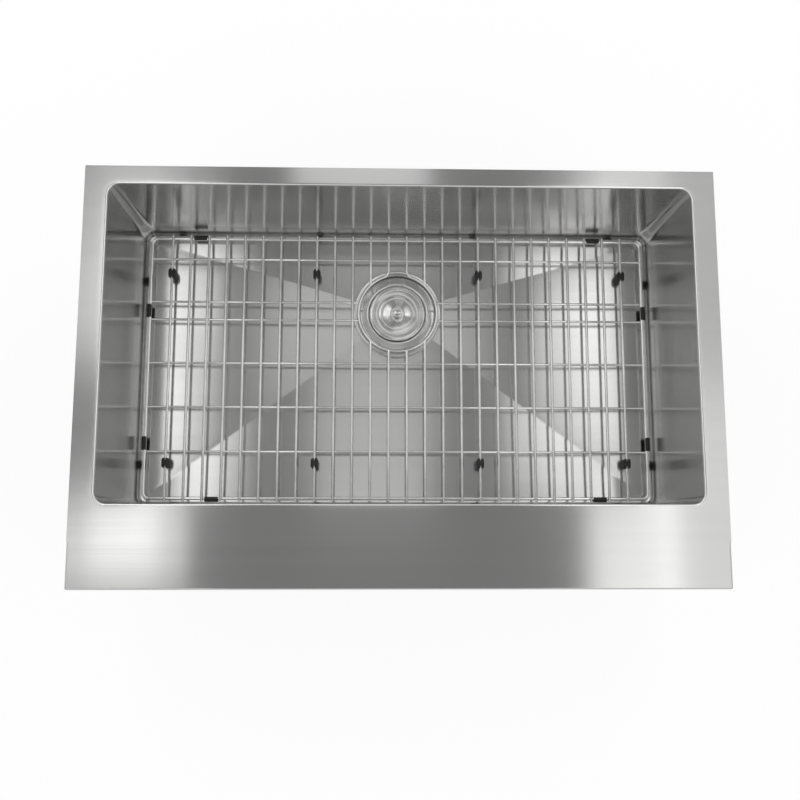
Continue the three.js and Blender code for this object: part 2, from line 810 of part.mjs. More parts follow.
// Y of the two short cross wires that stop at the keyhole's ring.
function shortCrossPlaces() {
  return [keyholeY - crossAheadOfKeyhole, keyholeY + crossBehindKeyhole];
}

// Y of the cross wires that run from side to side, front to back.
function fullCrossPlaces() {
  const first = frameFront + firstCrossFromFront;
  const pitch = (keyholeY - crossAheadOfKeyhole - first) / frontCrossCount;
  const places = [];
  for (let index = 0; index < frontCrossCount; index += 1) {
    places.push(first + index * pitch);
  }
  places.push(frameBack - firstCrossFromBack);
  return places;
}

// Frame wire: a rectangle with rounded corners.
function framePath() {
  const x = frameHalf - frameCorner;
  const front = frameFront + frameCorner;
  const back = frameBack - frameCorner;
  return [
    ...arcPoints(x, front, frameCorner, -quarterTurn, 0),
    ...arcPoints(x, back, frameCorner, 0, quarterTurn),
    ...arcPoints(-x, back, frameCorner, quarterTurn, halfTurn),
    ...arcPoints(-x, front, frameCorner, halfTurn, 3 * quarterTurn),
  ];
}

// Keyhole: the middle pair of wires comes forward, spreads and closes in a ring.
function keyholePath() {
  const neck = wirePitch / 2;
  const bendX = neck + keyholeBend;
  const bendY = keyholeY + Math.sqrt((keyholeRadius + keyholeBend) ** 2 - bendX ** 2);
  const meet = THREE.MathUtils.radToDeg(Math.atan2(bendY - keyholeY, bendX));
  const right = [
    new THREE.Vector2(neck, longBack),
    ...arcPoints(bendX, bendY, keyholeBend, halfTurn, halfTurn + meet),
  ];
  const ring = arcPoints(0, keyholeY, keyholeRadius, meet, -halfTurn - meet);
  const left = right.map((point) => new THREE.Vector2(-point.x, point.y)).reverse();
  return [...right, ...ring.slice(1, -1), ...left];
}

// A straight wire between two points of the plan.
function straightWire(fromX, fromY, toX, toY, diameter, height) {
  const ends = [new THREE.Vector2(fromX, fromY), new THREE.Vector2(toX, toY)];
  return wireAlong(ends, diameter, height);
}

// Half a circle's chord at a distance from its middle.
function halfChord(radius, offset) {
  return Math.sqrt(Math.max(radius ** 2 - offset ** 2, 0));
}

// Long wires at one side of the keyhole, joined by the short cross wires that stop at its ring.
function sideWires(side) {
  const wires = [];
  for (const x of longWirePlaces()) {
    if (x > keyholeRadius) {
      wires.push(straightWire(side * x, longFront, side * x, longBack, longWire, longZ));
    }
  }
  for (const y of shortCrossPlaces()) {
    const offset = Math.max(Math.abs(y - keyholeY) - crossWire, 0);
    const inner = halfChord(ringOuter, offset) + seat;
    wires.push(straightWire(side * inner, y, side * crossHalf, y, crossWire, shortCrossZ));
  }
  return geometryOf(joined(wires.map(solidOf)));
}

// Long wires that stop at the keyhole's ring, from the front and, past its neck, from the back.
function addRingWires() {
  for (const place of longWirePlaces().filter((x) => x < keyholeRadius)) {
    const innerEdge = Math.max(place - (longWire / 2) * wireCorner, 0);
    const reach = halfChord(ringOuter, innerEdge) + seat;
    const bay = Math.round(place / wirePitch + 0.5);
    for (const [side, x] of [['left', -place], ['right', place]]) {
      const front = straightWire(x, longFront, x, keyholeY - reach, longWire, longZ);
      addPiece(`grid_wire_front_${side}_${bay}`, 'wire', front);
      if (bay > 1) {
        const back = straightWire(x, keyholeY + reach, x, longBack, longWire, longZ);
        addPiece(`grid_wire_back_${side}_${bay}`, 'wire', back);
      }
    }
  }
}

// Wires of the grid: the frame, the keyhole, the wires beside it and the full cross wires.
function addGridWires() {
  addPiece('grid_frame', 'wire', wireAlong(framePath(), frameWire, frameZ, true));
  addPiece('grid_keyhole', 'wire', wireAlong(keyholePath(), longWire, longZ));
  addPiece('grid_wires_left', 'wire', sideWires(-1));
  addPiece('grid_wires_right', 'wire', sideWires(1));
  fullCrossPlaces().forEach((y, index) => {
    const wire = straightWire(-crossHalf, y, crossHalf, y, crossWire, crossZ);
    addPiece(`grid_cross_wire_${index + 1}`, 'wire', wire);
  });
  addRingWires();
}

// Rubber foot: grips a long wire, capped over it, with the wire showing at both ends.
function gridFoot(x, y) {
  const halfX = footWidth / 2;
  const halfY = footLength / 2;
  const all = ['lowLeft', 'lowRight', 'highRight', 'highLeft'];
  const outline = cornerShape(-halfX, halfX, -halfY, halfY, footCorner, all);
  const corners = [-1, 1].flatMap((sideX) =>
    [-1, 1].map((sideY) => floorHeight(x + sideX * halfX, y + sideY * halfY)));
  const low = Math.max(...corners) + seat;
  const high = longZ + footCap;
  const block = new THREE.ExtrudeGeometry(outline, { depth: high - low, bevelEnabled: false });
  block.translate(x, y, low);
  const channel = new THREE.CylinderGeometry(
    longWire / 2 + wireGrip,
    longWire / 2 + wireGrip,
    footLength + 2 * past,
    channelSides,
  );
  channel.translate(x, y, longZ);
  let foot = solidOf(block).subtract(solidOf(channel));
  for (const end of [-1, 1]) {
    const inner = y + end * (halfY - footNotchLength);
    const outer = y + end * (halfY + past);
    const notch = boxBetween(
      [x - footNotchWidth / 2, Math.min(inner, outer), longZ],
      [x + footNotchWidth / 2, Math.max(inner, outer), high + past],
    );
    foot = foot.subtract(solidOf(notch));
  }
  return geometryOf(foot);
}

// Rubber bumper: a split sleeve on the frame wire, thick on the side of the bowl's wall.
function gridBumper(x, y, outX, outY) {
  const sleeve = new THREE.CylinderGeometry(bumperRadius, bumperRadius, bumperLength, bumperSides);
  sleeve.translate(outX * bumperOffset, outY * bumperOffset, 0);
  const holeRadius = frameWire / 2 + wireGrip;
  const hole = new THREE.CylinderGeometry(holeRadius, holeRadius, bumperLength + 2 * past, bumperSides);
  if (outY !== 0) {
    sleeve.translate(0, -outY * bumperOffset, 0);
    sleeve.rotateZ(Math.PI / 2);
    sleeve.translate(0, outY * bumperOffset, 0);
    hole.rotateZ(Math.PI / 2);
  }
  sleeve.translate(x, y, frameZ);
  hole.translate(x, y, frameZ);
  return geometryOf(solidOf(sleeve).subtract(solidOf(hole)));
}

function addGridFeet() {
  const outerX = longWirePlaces().at(-1);
  const innerX = Math.min((innerFootBayCount + 0.5) * wirePitch, outerX);
  const footRows = { back: frameBack - footRowFromBack, front: frameFront + footRowFromFront };
  const footColumns = {
    left_outer: -outerX,
    left_inner: -innerX,
    right_inner: innerX,
    right_outer: outerX,
  };
  for (const [row, y] of Object.entries(footRows)) {
    for (const [column, x] of Object.entries(footColumns)) {
      addPiece(`grid_foot_${row}_${column}`, 'rubber', gridFoot(x, y));
    }
  }
}

function addGridBumpers() {
  const sideFront = fullCrossPlaces()[0] + frontSideBumperFromCross;
  const [pairFront, pairBack] = shortCrossPlaces();
  const sideBack = (pairFront + pairBack) / 2;
  const bumpers = [
    ['left_back', -frameHalf, sideBack, -1, 0],
    ['left_front', -frameHalf, sideFront, -1, 0],
    ['right_back', frameHalf, sideBack, 1, 0],
    ['right_front', frameHalf, sideFront, 1, 0],
    ['back_left', -backBumperBayCount * wirePitch, frameBack, 0, 1],
    ['back_right', backBumperBayCount * wirePitch, frameBack, 0, 1],
    ['front_left', -frontLeftBumperBayCount * wirePitch, frameFront, 0, -1],
    ['front_right', frontRightBumperBayCount * wirePitch, frameFront, 0, -1],
  ];
  for (const [place, x, y, outX, outY] of bumpers) {
    addPiece(`grid_bumper_${place}`, 'rubber', gridBumper(x, y, outX, outY));
  }
}

// ---------------------------------------------------------------- sound pads

// Flat pads on the outside of the back wall and the side walls.
function addWallPads() {
  const top = -wallPadTop;
  const low = top - wallPadHeight;
  const backFace = bowlBack + sheet + seat;
  const backPad = boxBetween(
    [-backPadWidth / 2, backFace, low],
    [backPadWidth / 2, backFace + padThickness, top],
  );
  addPiece('sound_pad_back_wall', 'pad', backPad);
  const sideFace = bowlHalf + sheet + seat;
  const middle = (bowlFront + bowlBack) / 2;
  for (const [side, sign] of [['left', -1], ['right', 1]]) {
    const pad = boxBetween(
      [sideFace, middle - sidePadLength / 2, low],
      [sideFace + padThickness, middle + sidePadLength / 2, top],
    );
    pad.translate(sign < 0 ? -2 * sideFace - padThickness : 0, 0, 0);
    addPiece(`sound_pad_${side}_wall`, 'pad', pad);
  }
}

// A pad on the underside of one of the floor's pitched panels.
function addFloorPad(name, sizeX, sizeY, x, y, tiltX, tiltY) {
  const pad = addPiece(name, 'pad', new THREE.BoxGeometry(sizeX, sizeY, padThickness));
  pad.rotation.set(tiltX, tiltY, 0);
  pad.position.set(x, y, floorHeight(x, y) - sheet - seat - padThickness / 2);
}

function addFloorPads() {
  const sideTilt = Math.atan(floorFall / floorHalf);
  const frontTilt = Math.atan(floorFall / (drainY - floorFront));
  const sideX = floorHalf - bottomSidePadFromWall - bottomSidePadWidth / 2;
  const sideY = drainY + bottomSidePadOffset;
  addFloorPad('sound_pad_floor_left', bottomSidePadWidth, bottomSidePadLength, -sideX, sideY, 0, sideTilt);
  addFloorPad('sound_pad_floor_right', bottomSidePadWidth, bottomSidePadLength, sideX, sideY, 0, -sideTilt);
  const frontY = floorFront + bottomFrontPadFromWall + bottomFrontPadLength / 2;
  addFloorPad('sound_pad_floor_front', bottomFrontPadWidth, bottomFrontPadLength, 0, frontY, -frontTilt, 0);
}

// ---------------------------------------------------------------- assembly

addPiece('deck_and_apron', 'steel', deckAndApron());
addPiece('bowl', 'steel', bowl());
addWallPads();
addFloorPads();
addDrain();
addGridWires();
addGridFeet();
addGridBumpers();

export default sink;
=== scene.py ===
# %% [markdown]
# # Farmhouse apron front sink
# A single-bowl stainless sink, seen from above: a flat deck with an apron folded down at the
# front, a pressed bowl with a pitched floor, a basket strainer and a wire grid on rubber feet.
# The measured model is loaded first and stays as it is: it says where everything goes. Finer
# pieces are then built over it, in the order in which a workshop would make them.

import math

import bmesh
import bpy
from mathutils import Matrix, Vector


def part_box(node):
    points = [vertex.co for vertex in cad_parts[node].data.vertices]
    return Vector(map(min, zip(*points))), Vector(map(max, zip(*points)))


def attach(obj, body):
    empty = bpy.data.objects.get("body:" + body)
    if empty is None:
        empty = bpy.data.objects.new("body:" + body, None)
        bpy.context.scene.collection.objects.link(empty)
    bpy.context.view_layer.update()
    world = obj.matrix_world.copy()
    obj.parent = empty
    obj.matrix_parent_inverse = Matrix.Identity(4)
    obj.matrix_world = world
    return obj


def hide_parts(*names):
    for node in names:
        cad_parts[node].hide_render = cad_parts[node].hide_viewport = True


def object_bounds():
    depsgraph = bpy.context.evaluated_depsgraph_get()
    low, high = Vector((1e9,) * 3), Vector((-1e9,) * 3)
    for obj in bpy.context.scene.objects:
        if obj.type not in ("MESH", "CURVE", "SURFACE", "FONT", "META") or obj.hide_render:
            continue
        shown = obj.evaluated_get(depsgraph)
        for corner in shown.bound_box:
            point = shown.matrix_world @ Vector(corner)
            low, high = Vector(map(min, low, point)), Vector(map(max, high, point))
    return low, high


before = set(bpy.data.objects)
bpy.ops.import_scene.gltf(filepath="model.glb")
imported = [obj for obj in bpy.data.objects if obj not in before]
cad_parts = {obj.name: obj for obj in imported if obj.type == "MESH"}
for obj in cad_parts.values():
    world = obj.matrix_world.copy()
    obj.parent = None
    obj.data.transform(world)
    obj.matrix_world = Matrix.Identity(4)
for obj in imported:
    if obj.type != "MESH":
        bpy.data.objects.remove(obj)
cad_low, cad_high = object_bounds()
print("model box:", [round(v, 4) for v in cad_low], [round(v, 4) for v in cad_high])

# %% [markdown]
# ## Small hands
# Most tools act on all that is selected, so each step first puts everything down, picks up one
# object, and then selects faces or edges by where they lie. These helpers keep that habit.

# %% Helpers to pick things up and to work on a mesh
MM = 0.001


def hold(obj):
    """Selects one object alone and makes it the active one."""
    if bpy.context.object and bpy.context.object.mode != "OBJECT":
        bpy.ops.object.mode_set(mode="OBJECT")
    bpy.ops.object.select_all(action="DESELECT")
    obj.select_set(True)
    bpy.context.view_layer.objects.active = obj
    return obj


def start_edit(obj, kind="FACE"):
    hold(obj)
    bpy.ops.object.mode_set(mode="EDIT")
    bpy.ops.mesh.select_mode(type=kind)
    bpy.ops.mesh.select_all(action="DESELECT")


def end_edit():
    bpy.ops.object.mode_set(mode="OBJECT")


def take_all():
    bpy.ops.mesh.select_all(action="SELECT")


def pick(obj, kind, wanted):
    """In edit mode, selects only the faces, edges or vertices for which wanted(...) is true."""
    bpy.ops.mesh.select_mode(type=kind)
    bpy.ops.mesh.select_all(action="DESELECT")
    mesh = bmesh.from_edit_mesh(obj.data)
    parts = {"FACE": mesh.faces, "EDGE": mesh.edges, "VERT": mesh.verts}[kind]
    count = 0
    for part in parts:
        if wanted(part):
            part.select_set(True)
            count += 1
    mesh.select_flush_mode()
    bmesh.update_edit_mesh(obj.data)
    return count


def named(name, obj=None):
    """Names an object and its mesh; without one, the object that was just added or joined."""
    obj = obj or bpy.context.object
    obj.name = obj.data.name = name
    return obj


def settle(obj):
    """Puts the object's place into its mesh."""
    hold(obj)
    bpy.ops.object.transform_apply(location=True, rotation=True, scale=True)
    return obj


def apply(obj, kind, **settings):
    """Adds a modifier, sets it and applies it."""
    hold(obj)
    modifier = obj.modifiers.new(kind.lower(), kind)
    for key, value in settings.items():
        setattr(modifier, key, value)
    bpy.ops.object.modifier_apply(modifier=modifier.name)
    return obj


def soften(obj, degrees=32):
    """Smooth shading across gentle bends; large flat faces keep their own direction."""
    hold(obj)
    bpy.ops.object.shade_smooth_by_angle(angle=math.radians(degrees))
    return apply(obj, "WEIGHTED_NORMAL", keep_sharp=True, weight=90)


def bring_in(obj):
    bpy.context.scene.collection.objects.link(obj)
    return obj


def copy_of(obj, name):
    twin = obj.copy()
    twin.data = obj.data.copy()
    return bring_in(named(name, twin))


def fuse(pieces, name):
    """Joins several objects into one mesh."""
    hold(pieces[0])
    for piece in pieces[1:]:
        piece.select_set(True)
    bpy.ops.object.join()
    return named(name)


def report_piece(obj):
    size = obj.dimensions / MM
    print(f"{obj.name}: {size.x:.1f} x {size.y:.1f} x {size.z:.1f} mm,"
          f" {len(obj.data.polygons)} faces")


# %% [markdown]
# ## Camera
# The picture was taken from almost straight above, a little in front of the bowl's middle and
# 1.25 m up. The lens keeps its own perspective, so the bowl's floor looks smaller than its rim.

# %% Camera over the bowl
camera_data = bpy.data.cameras.new("overhead_camera")
camera = bring_in(bpy.data.objects.new("overhead_camera", camera_data))
camera.location = (-0.0383, -0.1884, 1.2516)
camera.rotation_euler = [math.radians(turn) for turn in (8.69, -1.64, 0.04)]
camera_data.sensor_width = 36
camera_data.lens = 44.1
camera_data.shift_y = -0.0375
bpy.context.scene.camera = camera
print("camera", tuple(camera.location), "lens", camera_data.lens)

# %% [markdown]
# ## Light
# Steel shows little but what it mirrors, so the light is a set of plain soft boxes that hang a
# metre above the sink. The ones on the left and right draw the bright ends of the deck and of
# the bowl's floor, and the ones behind light the back edge. The ceiling between them stays dark,
# which the middle of the deck shows. Boxes overlap, one a little above the other, and their light
# adds up: so each side has a bright core and a softer edge. One more box hangs far higher, where
# only the front panel of the floor mirrors it, because that panel leans back.

# %% Soft boxes
view_settings = bpy.context.scene.view_settings
view_settings.view_transform = "Standard"

BOX_HEIGHT = 1.0
BOX_STEP = 0.01
# place: (left x, right x, front y, back y, radiance)
SOFT_BOXES = {
    "left_back": (-1.10, -0.48, 0.17, 0.62, 0.38),
    "left_deck": (-0.68, -0.54, 0.17, 0.60, 0.60),
    "left_outer": (-1.10, -0.68, 0.20, 0.44, 0.25),
    "left_inner": (-0.60, -0.47, -0.12, 0.22, 0.65),
    "left_front": (-1.10, -0.46, -0.34, -0.15, 0.95),
    "left_edge": (-0.69, -0.53, -0.30, -0.13, 0.80),
    "left_floor": (-0.58, -0.40, -0.05, 0.53, 0.65),
    "left_behind": (-0.54, -0.40, 0.36, 0.54, 0.55),
    "left_corner": (-1.00, -0.45, 0.86, 1.30, 1.5),
    "left_low": (-1.10, -0.42, -1.10, -0.55, 0.7),
    "right": (0.46, 1.00, -0.70, 0.70, 0.4),
    "right_deck": (0.49, 0.70, -0.70, -0.13, 0.65),
    "right_middle": (0.60, 0.70, -0.13, 0.20, 0.65),
    "right_behind": (0.40, 0.56, 0.34, 0.54, 0.45),
    "right_floor": (0.36, 0.60, 0.02, 0.52, 0.75),
    "right_outer": (0.66, 1.00, -0.70, 0.15, 0.35),
    "right_back": (0.53, 0.72, 0.53, 0.80, 0.4),
    "right_corner": (0.45, 1.00, 0.88, 1.30, 1.5),
    "right_low": (0.40, 1.10, -1.10, -0.72, 0.7),
    "back": (-0.28, 0.24, 1.05, 1.60, 0.25),
    "back_deck": (-0.25, 0.11, 0.57, 0.95, 0.65),
    "middle": (-0.19, 0.12, -0.06, 0.06, 0.5),
}
# place, height, then the same values
HIGH_BOX = ("high", 20.0, -1.39, 1.39, 2.5, 5.0, 0.7)


def soft_box(place, height, left, right, front, back, radiance):
    name = f"soft_box_{place}"
    lamp = bpy.data.lights.new(name, "AREA")
    lamp.shape = "RECTANGLE"
    lamp.size = right - left
    lamp.size_y = back - front
    lamp.energy = radiance * math.pi * lamp.size * lamp.size_y
    holder = bring_in(bpy.data.objects.new(name, lamp))
    holder.location = ((left + right) / 2, (front + back) / 2, height)
    holder.visible_camera = False


for level, (place, values) in enumerate(SOFT_BOXES.items()):
    soft_box(place, BOX_HEIGHT + level * BOX_STEP, *values)
soft_box(*HIGH_BOX)
print("soft boxes:", len(SOFT_BOXES) + 1)

# %% [markdown]
# The room is a gradient on the world: a ramp over the height of the direction that a ray looks.
# The picture itself shows plain white there, and only the steel sees the ramp.

# %% Room around the sink
ROOM_RAMP = ((0.0, 0.55), (0.3, 0.6), (0.5, 0.9), (0.65, 0.9), (0.78, 0.3), (1.0, 0.25))
ROOM_WHITE = 0.97


def plug(tree, value, socket):
    """Feeds a socket from another node's socket, or sets it to a plain value."""
    if isinstance(value, bpy.types.NodeSocket):
        tree.links.new(value, socket)
    else:
        socket.default_value = value


def feed(tree, node, **inputs):
    """Feeds a node; keywords name its inputs, with _ for a space."""
    for key, value in inputs.items():
        plug(tree, value, node.inputs[key.replace("_", " ")])
    return node


def add_node(tree, kind, **inputs):
    return feed(tree, tree.nodes.new(kind), **inputs)


def ramp_of(tree, value, stops):
    """Colours a value by a ramp through stops (place, grey) or (place, colour)."""
    node = add_node(tree, "ShaderNodeValToRGB", Fac=value)
    points = node.color_ramp.elements
    while len(points) < len(stops):
        points.new(0.5)
    for point, (place, colour) in zip(points, stops):
        point.position = place
        point.color = (*(colour if isinstance(colour, tuple) else (colour,) * 3), 1)
    return node.outputs[0]


world = bpy.data.worlds.new("studio_room")
world.use_nodes = True
bpy.context.scene.world = world
tree = world.node_tree
tree.nodes.clear()
looking = add_node(tree, "ShaderNodeTexCoord")
split = add_node(tree, "ShaderNodeSeparateXYZ", Vector=looking.outputs["Generated"])
rays = add_node(tree, "ShaderNodeLightPath")
mixed = add_node(tree, "ShaderNodeMix")
mixed.data_type = "RGBA"
plug(tree, rays.outputs["Is Camera Ray"], mixed.inputs[0])
plug(tree, ramp_of(tree, split.outputs["Z"], ROOM_RAMP), mixed.inputs[6])
plug(tree, (ROOM_WHITE, ROOM_WHITE, ROOM_WHITE, 1), mixed.inputs[7])
sky = add_node(tree, "ShaderNodeBackground", Color=mixed.outputs[2])
add_node(tree, "ShaderNodeOutputWorld", Surface=sky.outputs[0])
print("room ramp", ROOM_RAMP)

# %% [markdown]
# ## Floor of the studio
# The sink is shown on white. The floor is white to the camera and to mirrors, and it also takes
# a little light of its own, so that the shadow under the sink stays.

# %% White floor
FLOOR_Z = cad_low.z - 0.001
FLOOR_SIZE = 30
FLOOR_GLOW = 0.86
FLOOR_SHADE = 0.2


def combine(tree, operation, first, second):
    node = tree.nodes.new("ShaderNodeMath")
    node.operation = operation
    plug(tree, first, node.inputs[0])
    plug(tree, second, node.inputs[1])
    return node.outputs[0]


bpy.ops.mesh.primitive_plane_add(size=FLOOR_SIZE, location=(0, 0, FLOOR_Z))
studio_floor = settle(named("studio_floor"))
floor_look = bpy.data.materials.new("white_floor")
floor_look.use_nodes = True
tree = floor_look.node_tree
tree.nodes.clear()
rays = add_node(tree, "ShaderNodeLightPath")
seen = combine(tree, "MAXIMUM", rays.outputs["Is Camera Ray"], rays.outputs["Is Glossy Ray"])
seen = combine(tree, "MAXIMUM", seen, rays.outputs["Is Transmission Ray"])
glow = add_node(tree, "ShaderNodeEmission", Color=(1, 1, 1, 1),
                Strength=combine(tree, "MULTIPLY", seen, FLOOR_GLOW))
shaded = add_node(tree, "ShaderNodeBsdfDiffuse", Color=(FLOOR_SHADE, FLOOR_SHADE, FLOOR_SHADE, 1))
both = add_node(tree, "ShaderNodeAddShader")
plug(tree, glow.outputs[0], both.inputs[0])
plug(tree, shaded.outputs[0], both.inputs[1])
add_node(tree, "ShaderNodeOutputMaterial", Surface=both.outputs[0])
studio_floor.data.materials.append(floor_look)
print("floor at", round(FLOOR_Z, 4))

# %% [markdown]
# ## Sizes
# The sizes come from the measured model. Each one is written once, in metres, under the name
# that a sheet-metal worker would use.

# %% Sizes of the sheet metal
SHEET = 1.5 * MM
DECK_HALF = 419 * MM
DECK_FRONT = -275 * MM
DECK_BACK = 275 * MM
APRON_HEIGHT = 254 * MM
FOLD = 2.5 * MM
SIDE_RETURN = 58 * MM
BOTTOM_RETURN = 25 * MM
BOWL_HALF = 388 * MM
BOWL_FRONT = -168 * MM
BOWL_BACK = 250.5 * MM
BOWL_MIDDLE_Y = (BOWL_FRONT + BOWL_BACK) / 2
BOWL_LENGTH = BOWL_BACK - BOWL_FRONT
WALL_DEPTH = 236 * MM
FLOOR_FALL = 9 * MM
CORNER = 15 * MM
COVE = 12 * MM
RIM_BEND = 3 * MM
RIM_LAND = 5 * MM
RIM_REACH = RIM_BEND + RIM_LAND
DRAIN_Y = 129.5 * MM
LAND_Z = -249.5 * MM
RECESS_TOP = 64 * MM
RECESS_LAND = 58.7 * MM
DRAIN_HOLE = 44.45 * MM
print("deck", 2 * DECK_HALF / MM, "x", (DECK_BACK - DECK_FRONT) / MM, "mm")

# %% [markdown]
# ## Brushed steel
# The sheet was rubbed with a belt that ran from left to right, so every scratch runs that way,
# on the walls too. Such steel mirrors sharply along the scratches and blurs across them: that
# is anisotropy. The shader takes the scratch direction from a map laid on each piece, whose
# first axis is always level, and the same map stretches the noise into streaks.

# %% Lay the grain map
GRAIN = "grain"


def bare_map(obj):
    """Leaves the mesh with one new map, named for the grain."""
    while obj.data.uv_layers:
        obj.data.uv_layers.remove(obj.data.uv_layers[0])
    return obj.data.uv_layers.new(name=GRAIN)


def lay_grain(obj):
    """Box projection: the map's first axis runs level on every face."""
    bare_map(obj)
    start_edit(obj)
    take_all()
    bpy.ops.uv.cube_project(cube_size=1)
    end_edit()


def lay_turned_grain(obj, x, y):
    """Map for turned pieces: the first axis runs round the upright line at (x, y)."""
    layer = bare_map(obj)
    for face in obj.data.polygons:
        middle = math.atan2(face.center.y - y, face.center.x - x)
        for corner in face.loop_indices:
            co = obj.data.vertices[obj.data.loops[corner].vertex_index].co
            reach = math.hypot(co.x - x, co.y - y)
            angle = math.atan2(co.y - y, co.x - x)
            angle += 2 * math.pi * round((middle - angle) / (2 * math.pi))
            layer.data[corner].uv = (angle * RECESS_LAND, reach - co.z)


# %% [markdown]
# The finish has two layers of streaks: broad soft ones that tint the sheet, and fine ones that
# change how sharply it mirrors and also make the hair-thin scratches in the bump.

# %% Make the brushed finish
TINT_SPREAD = 0.012
ROUGH_SPREAD = 0.015
SCRATCH_DEPTH = 0.02 * MM


def new_look(name):
    """A new material, with its tree and its shader."""
    look = bpy.data.materials.new(name)
    look.use_nodes = True
    return look, look.node_tree, look.node_tree.nodes["Principled BSDF"]


def noise_of(tree, vector, scale, detail):
    noise = add_node(tree, "ShaderNodeTexNoise", Vector=vector, Scale=scale, Detail=detail)
    return noise.outputs["Fac"]


def streaks(tree, uv, along, across, detail):
    """Noise stretched along the grain; along and across are repeats per metre."""
    mapping = add_node(tree, "ShaderNodeMapping", Vector=uv, Scale=(along, across, 1))
    return noise_of(tree, mapping.outputs[0], 1.0, detail)


def spread(tree, value, low, high):
    """Maps a noise value, which stays near its middle, to a range."""
    node = add_node(tree, "ShaderNodeMapRange", Value=value, From_Min=0.3, From_Max=0.7,
                    To_Min=low, To_Max=high)
    return node.outputs[0]


def brushed(name, tint, roughness, anisotropy, bump, broad=(0.8, 60), fine=(3, 1300)):
    """Brushed metal; broad and fine are the repeats of its streaks along and across."""
    look, tree, shader = new_look(name)
    uv = add_node(tree, "ShaderNodeUVMap")
    uv.uv_map = GRAIN
    broad_streaks = streaks(tree, uv.outputs[0], *broad, 3)
    fine_streaks = streaks(tree, uv.outputs[0], *fine, 2)
    tints = [(stop, tuple(v + change for v in tint))
             for stop, change in ((0.0, -TINT_SPREAD), (1.0, TINT_SPREAD))]
    tangent = add_node(tree, "ShaderNodeTangent")
    tangent.direction_type = "UV_MAP"
    tangent.uv_map = GRAIN
    scratch = add_node(tree, "ShaderNodeBump", Height=fine_streaks, Strength=bump,
                       Distance=SCRATCH_DEPTH)
    feed(tree, shader, Base_Color=ramp_of(tree, spread(tree, broad_streaks, 0, 1), tints),
         Roughness=spread(tree, fine_streaks, roughness - ROUGH_SPREAD, roughness + ROUGH_SPREAD),
         Metallic=1, Anisotropic=anisotropy, Anisotropic_Rotation=0.25,
         Tangent=tangent.outputs[0], Normal=scratch.outputs[0])
    return look


def dress(obj, look):
    obj.data.materials.clear()
    obj.data.materials.append(look)


sheet_steel = brushed("brushed_sheet_steel", (0.62, 0.62, 0.615), 0.17, 0.75, 0.05)
turned_steel = brushed("turned_drain_steel", (0.76, 0.76, 0.75), 0.15, 0.85, 0.12,
                       broad=(0.6, 300), fine=(2, 1500))
# The rim bend's steel is a lighter copy of the sheet. Its weaker grain is the edge's own finish,
# and its much lighter tint is a painted highlight that draws a bright line along the opening.
rim_highlight_steel = brushed("rim_edge_painted_highlight", (0.86, 0.86, 0.85), 0.2, 0.4, 0.03)
print("finishes:", sheet_steel.name, turned_steel.name, rim_highlight_steel.name)

# %% [markdown]
# ## The bowl's flange and rim
# A real bowl is pressed from one sheet. Here it starts as one flat plate, as wide as the flange
# that is welded into the deck. Its corners are rounded first, because every inset after that
# follows them; pressing the inner face down step by step then makes the rim's bend.

# %% Press the rim
CORNER_FACETS = 16
RIM_STEPS = 6


def flange_plate(name, height):
    """A flat plate with the flange's rounded outline, left in edit mode with all selected."""
    bpy.ops.mesh.primitive_plane_add(size=1, location=(0, BOWL_MIDDLE_Y, height))
    plate = named(name)
    plate.scale = (2 * (BOWL_HALF + RIM_REACH), BOWL_LENGTH + 2 * RIM_REACH, 1)
    settle(plate)
    start_edit(plate, "VERT")
    take_all()
    bpy.ops.mesh.bevel(offset=CORNER + RIM_REACH, segments=CORNER_FACETS, profile=0.5,
                       affect="VERTICES")
    take_all()
    return plate


def press_down(inwards, down):
    """Presses the selected face: a new ring of wall, moved in and down."""
    if inwards > 0:
        bpy.ops.mesh.inset(thickness=inwards, depth=-down, use_even_offset=True)
    else:
        bpy.ops.mesh.extrude_region_move(TRANSFORM_OT_translate={"value": (0, 0, -down)})


def quarter_turn(steps):
    """For each step of a quarter turn: how far its sine grows and its cosine falls."""
    for step in range(steps):
        first, last = (math.pi / 2 * (step + share) / steps for share in (0, 1))
        yield math.sin(last) - math.sin(first), math.cos(first) - math.cos(last)


bowl = flange_plate("pressed_bowl", 0)
bpy.ops.mesh.select_mode(type="FACE")
bpy.ops.mesh.inset(thickness=RIM_LAND, use_even_offset=True)
for growth, fall in quarter_turn(RIM_STEPS):
    press_down(RIM_BEND * growth, RIM_BEND * fall)
end_edit()
print("rim pressed:", len(bowl.data.polygons), "faces")

# %% [markdown]
# ## Walls and cove
# The walls are nearly upright and meet the floor in a cove of 12 mm, which the hand can wipe.
# The wall is one deep press; the cove is eight short ones that turn from down to inwards.

# %% Press the walls and the cove
COVE_STEPS = 8
start_edit(bowl)
pick(bowl, "FACE", lambda face: len(face.verts) > 4)
press_down(0, WALL_DEPTH - COVE - RIM_BEND)
for growth, fall in quarter_turn(COVE_STEPS):
    press_down(COVE * fall, COVE * growth)
end_edit()
print("floor starts at", round(min(v.co.z for v in bowl.data.vertices) / MM, 2))

# %% [markdown]
# ## The pitched floor
# Water has to run to the drain, so the floor is folded into four flat panels that meet in four
# creases. The floor's edge is divided finely, the floor is poked to a fan of triangles, and the
# fan's middle is moved over the drain and down. Bevelling that one point cuts the round recess.

# %% Fold the floor and sink the recess
FRONT_CUTS = 47
SIDE_CUTS = 27
BACK_CUTS = 95
TIGHT = 0.01 * MM
LOOSE = 0.1 * MM
MANY_SIDES = 60
FLOOR_ZONE = -200 * MM


def floor_edge(edge, place, axis):
    """True for the long straight edge of the floor that lies at that place on X or Y."""
    return edge.calc_length() > 100 * MM and all(
        vert.co.z < -WALL_DEPTH + TIGHT and abs(vert.co[axis] - place) < LOOSE
        for vert in edge.verts)


def floor_face(face):
    """True for a face down in the bowl with many sides: the whole floor, or the recess."""
    return len(face.verts) > MANY_SIDES and face.calc_center_median().z < FLOOR_ZONE


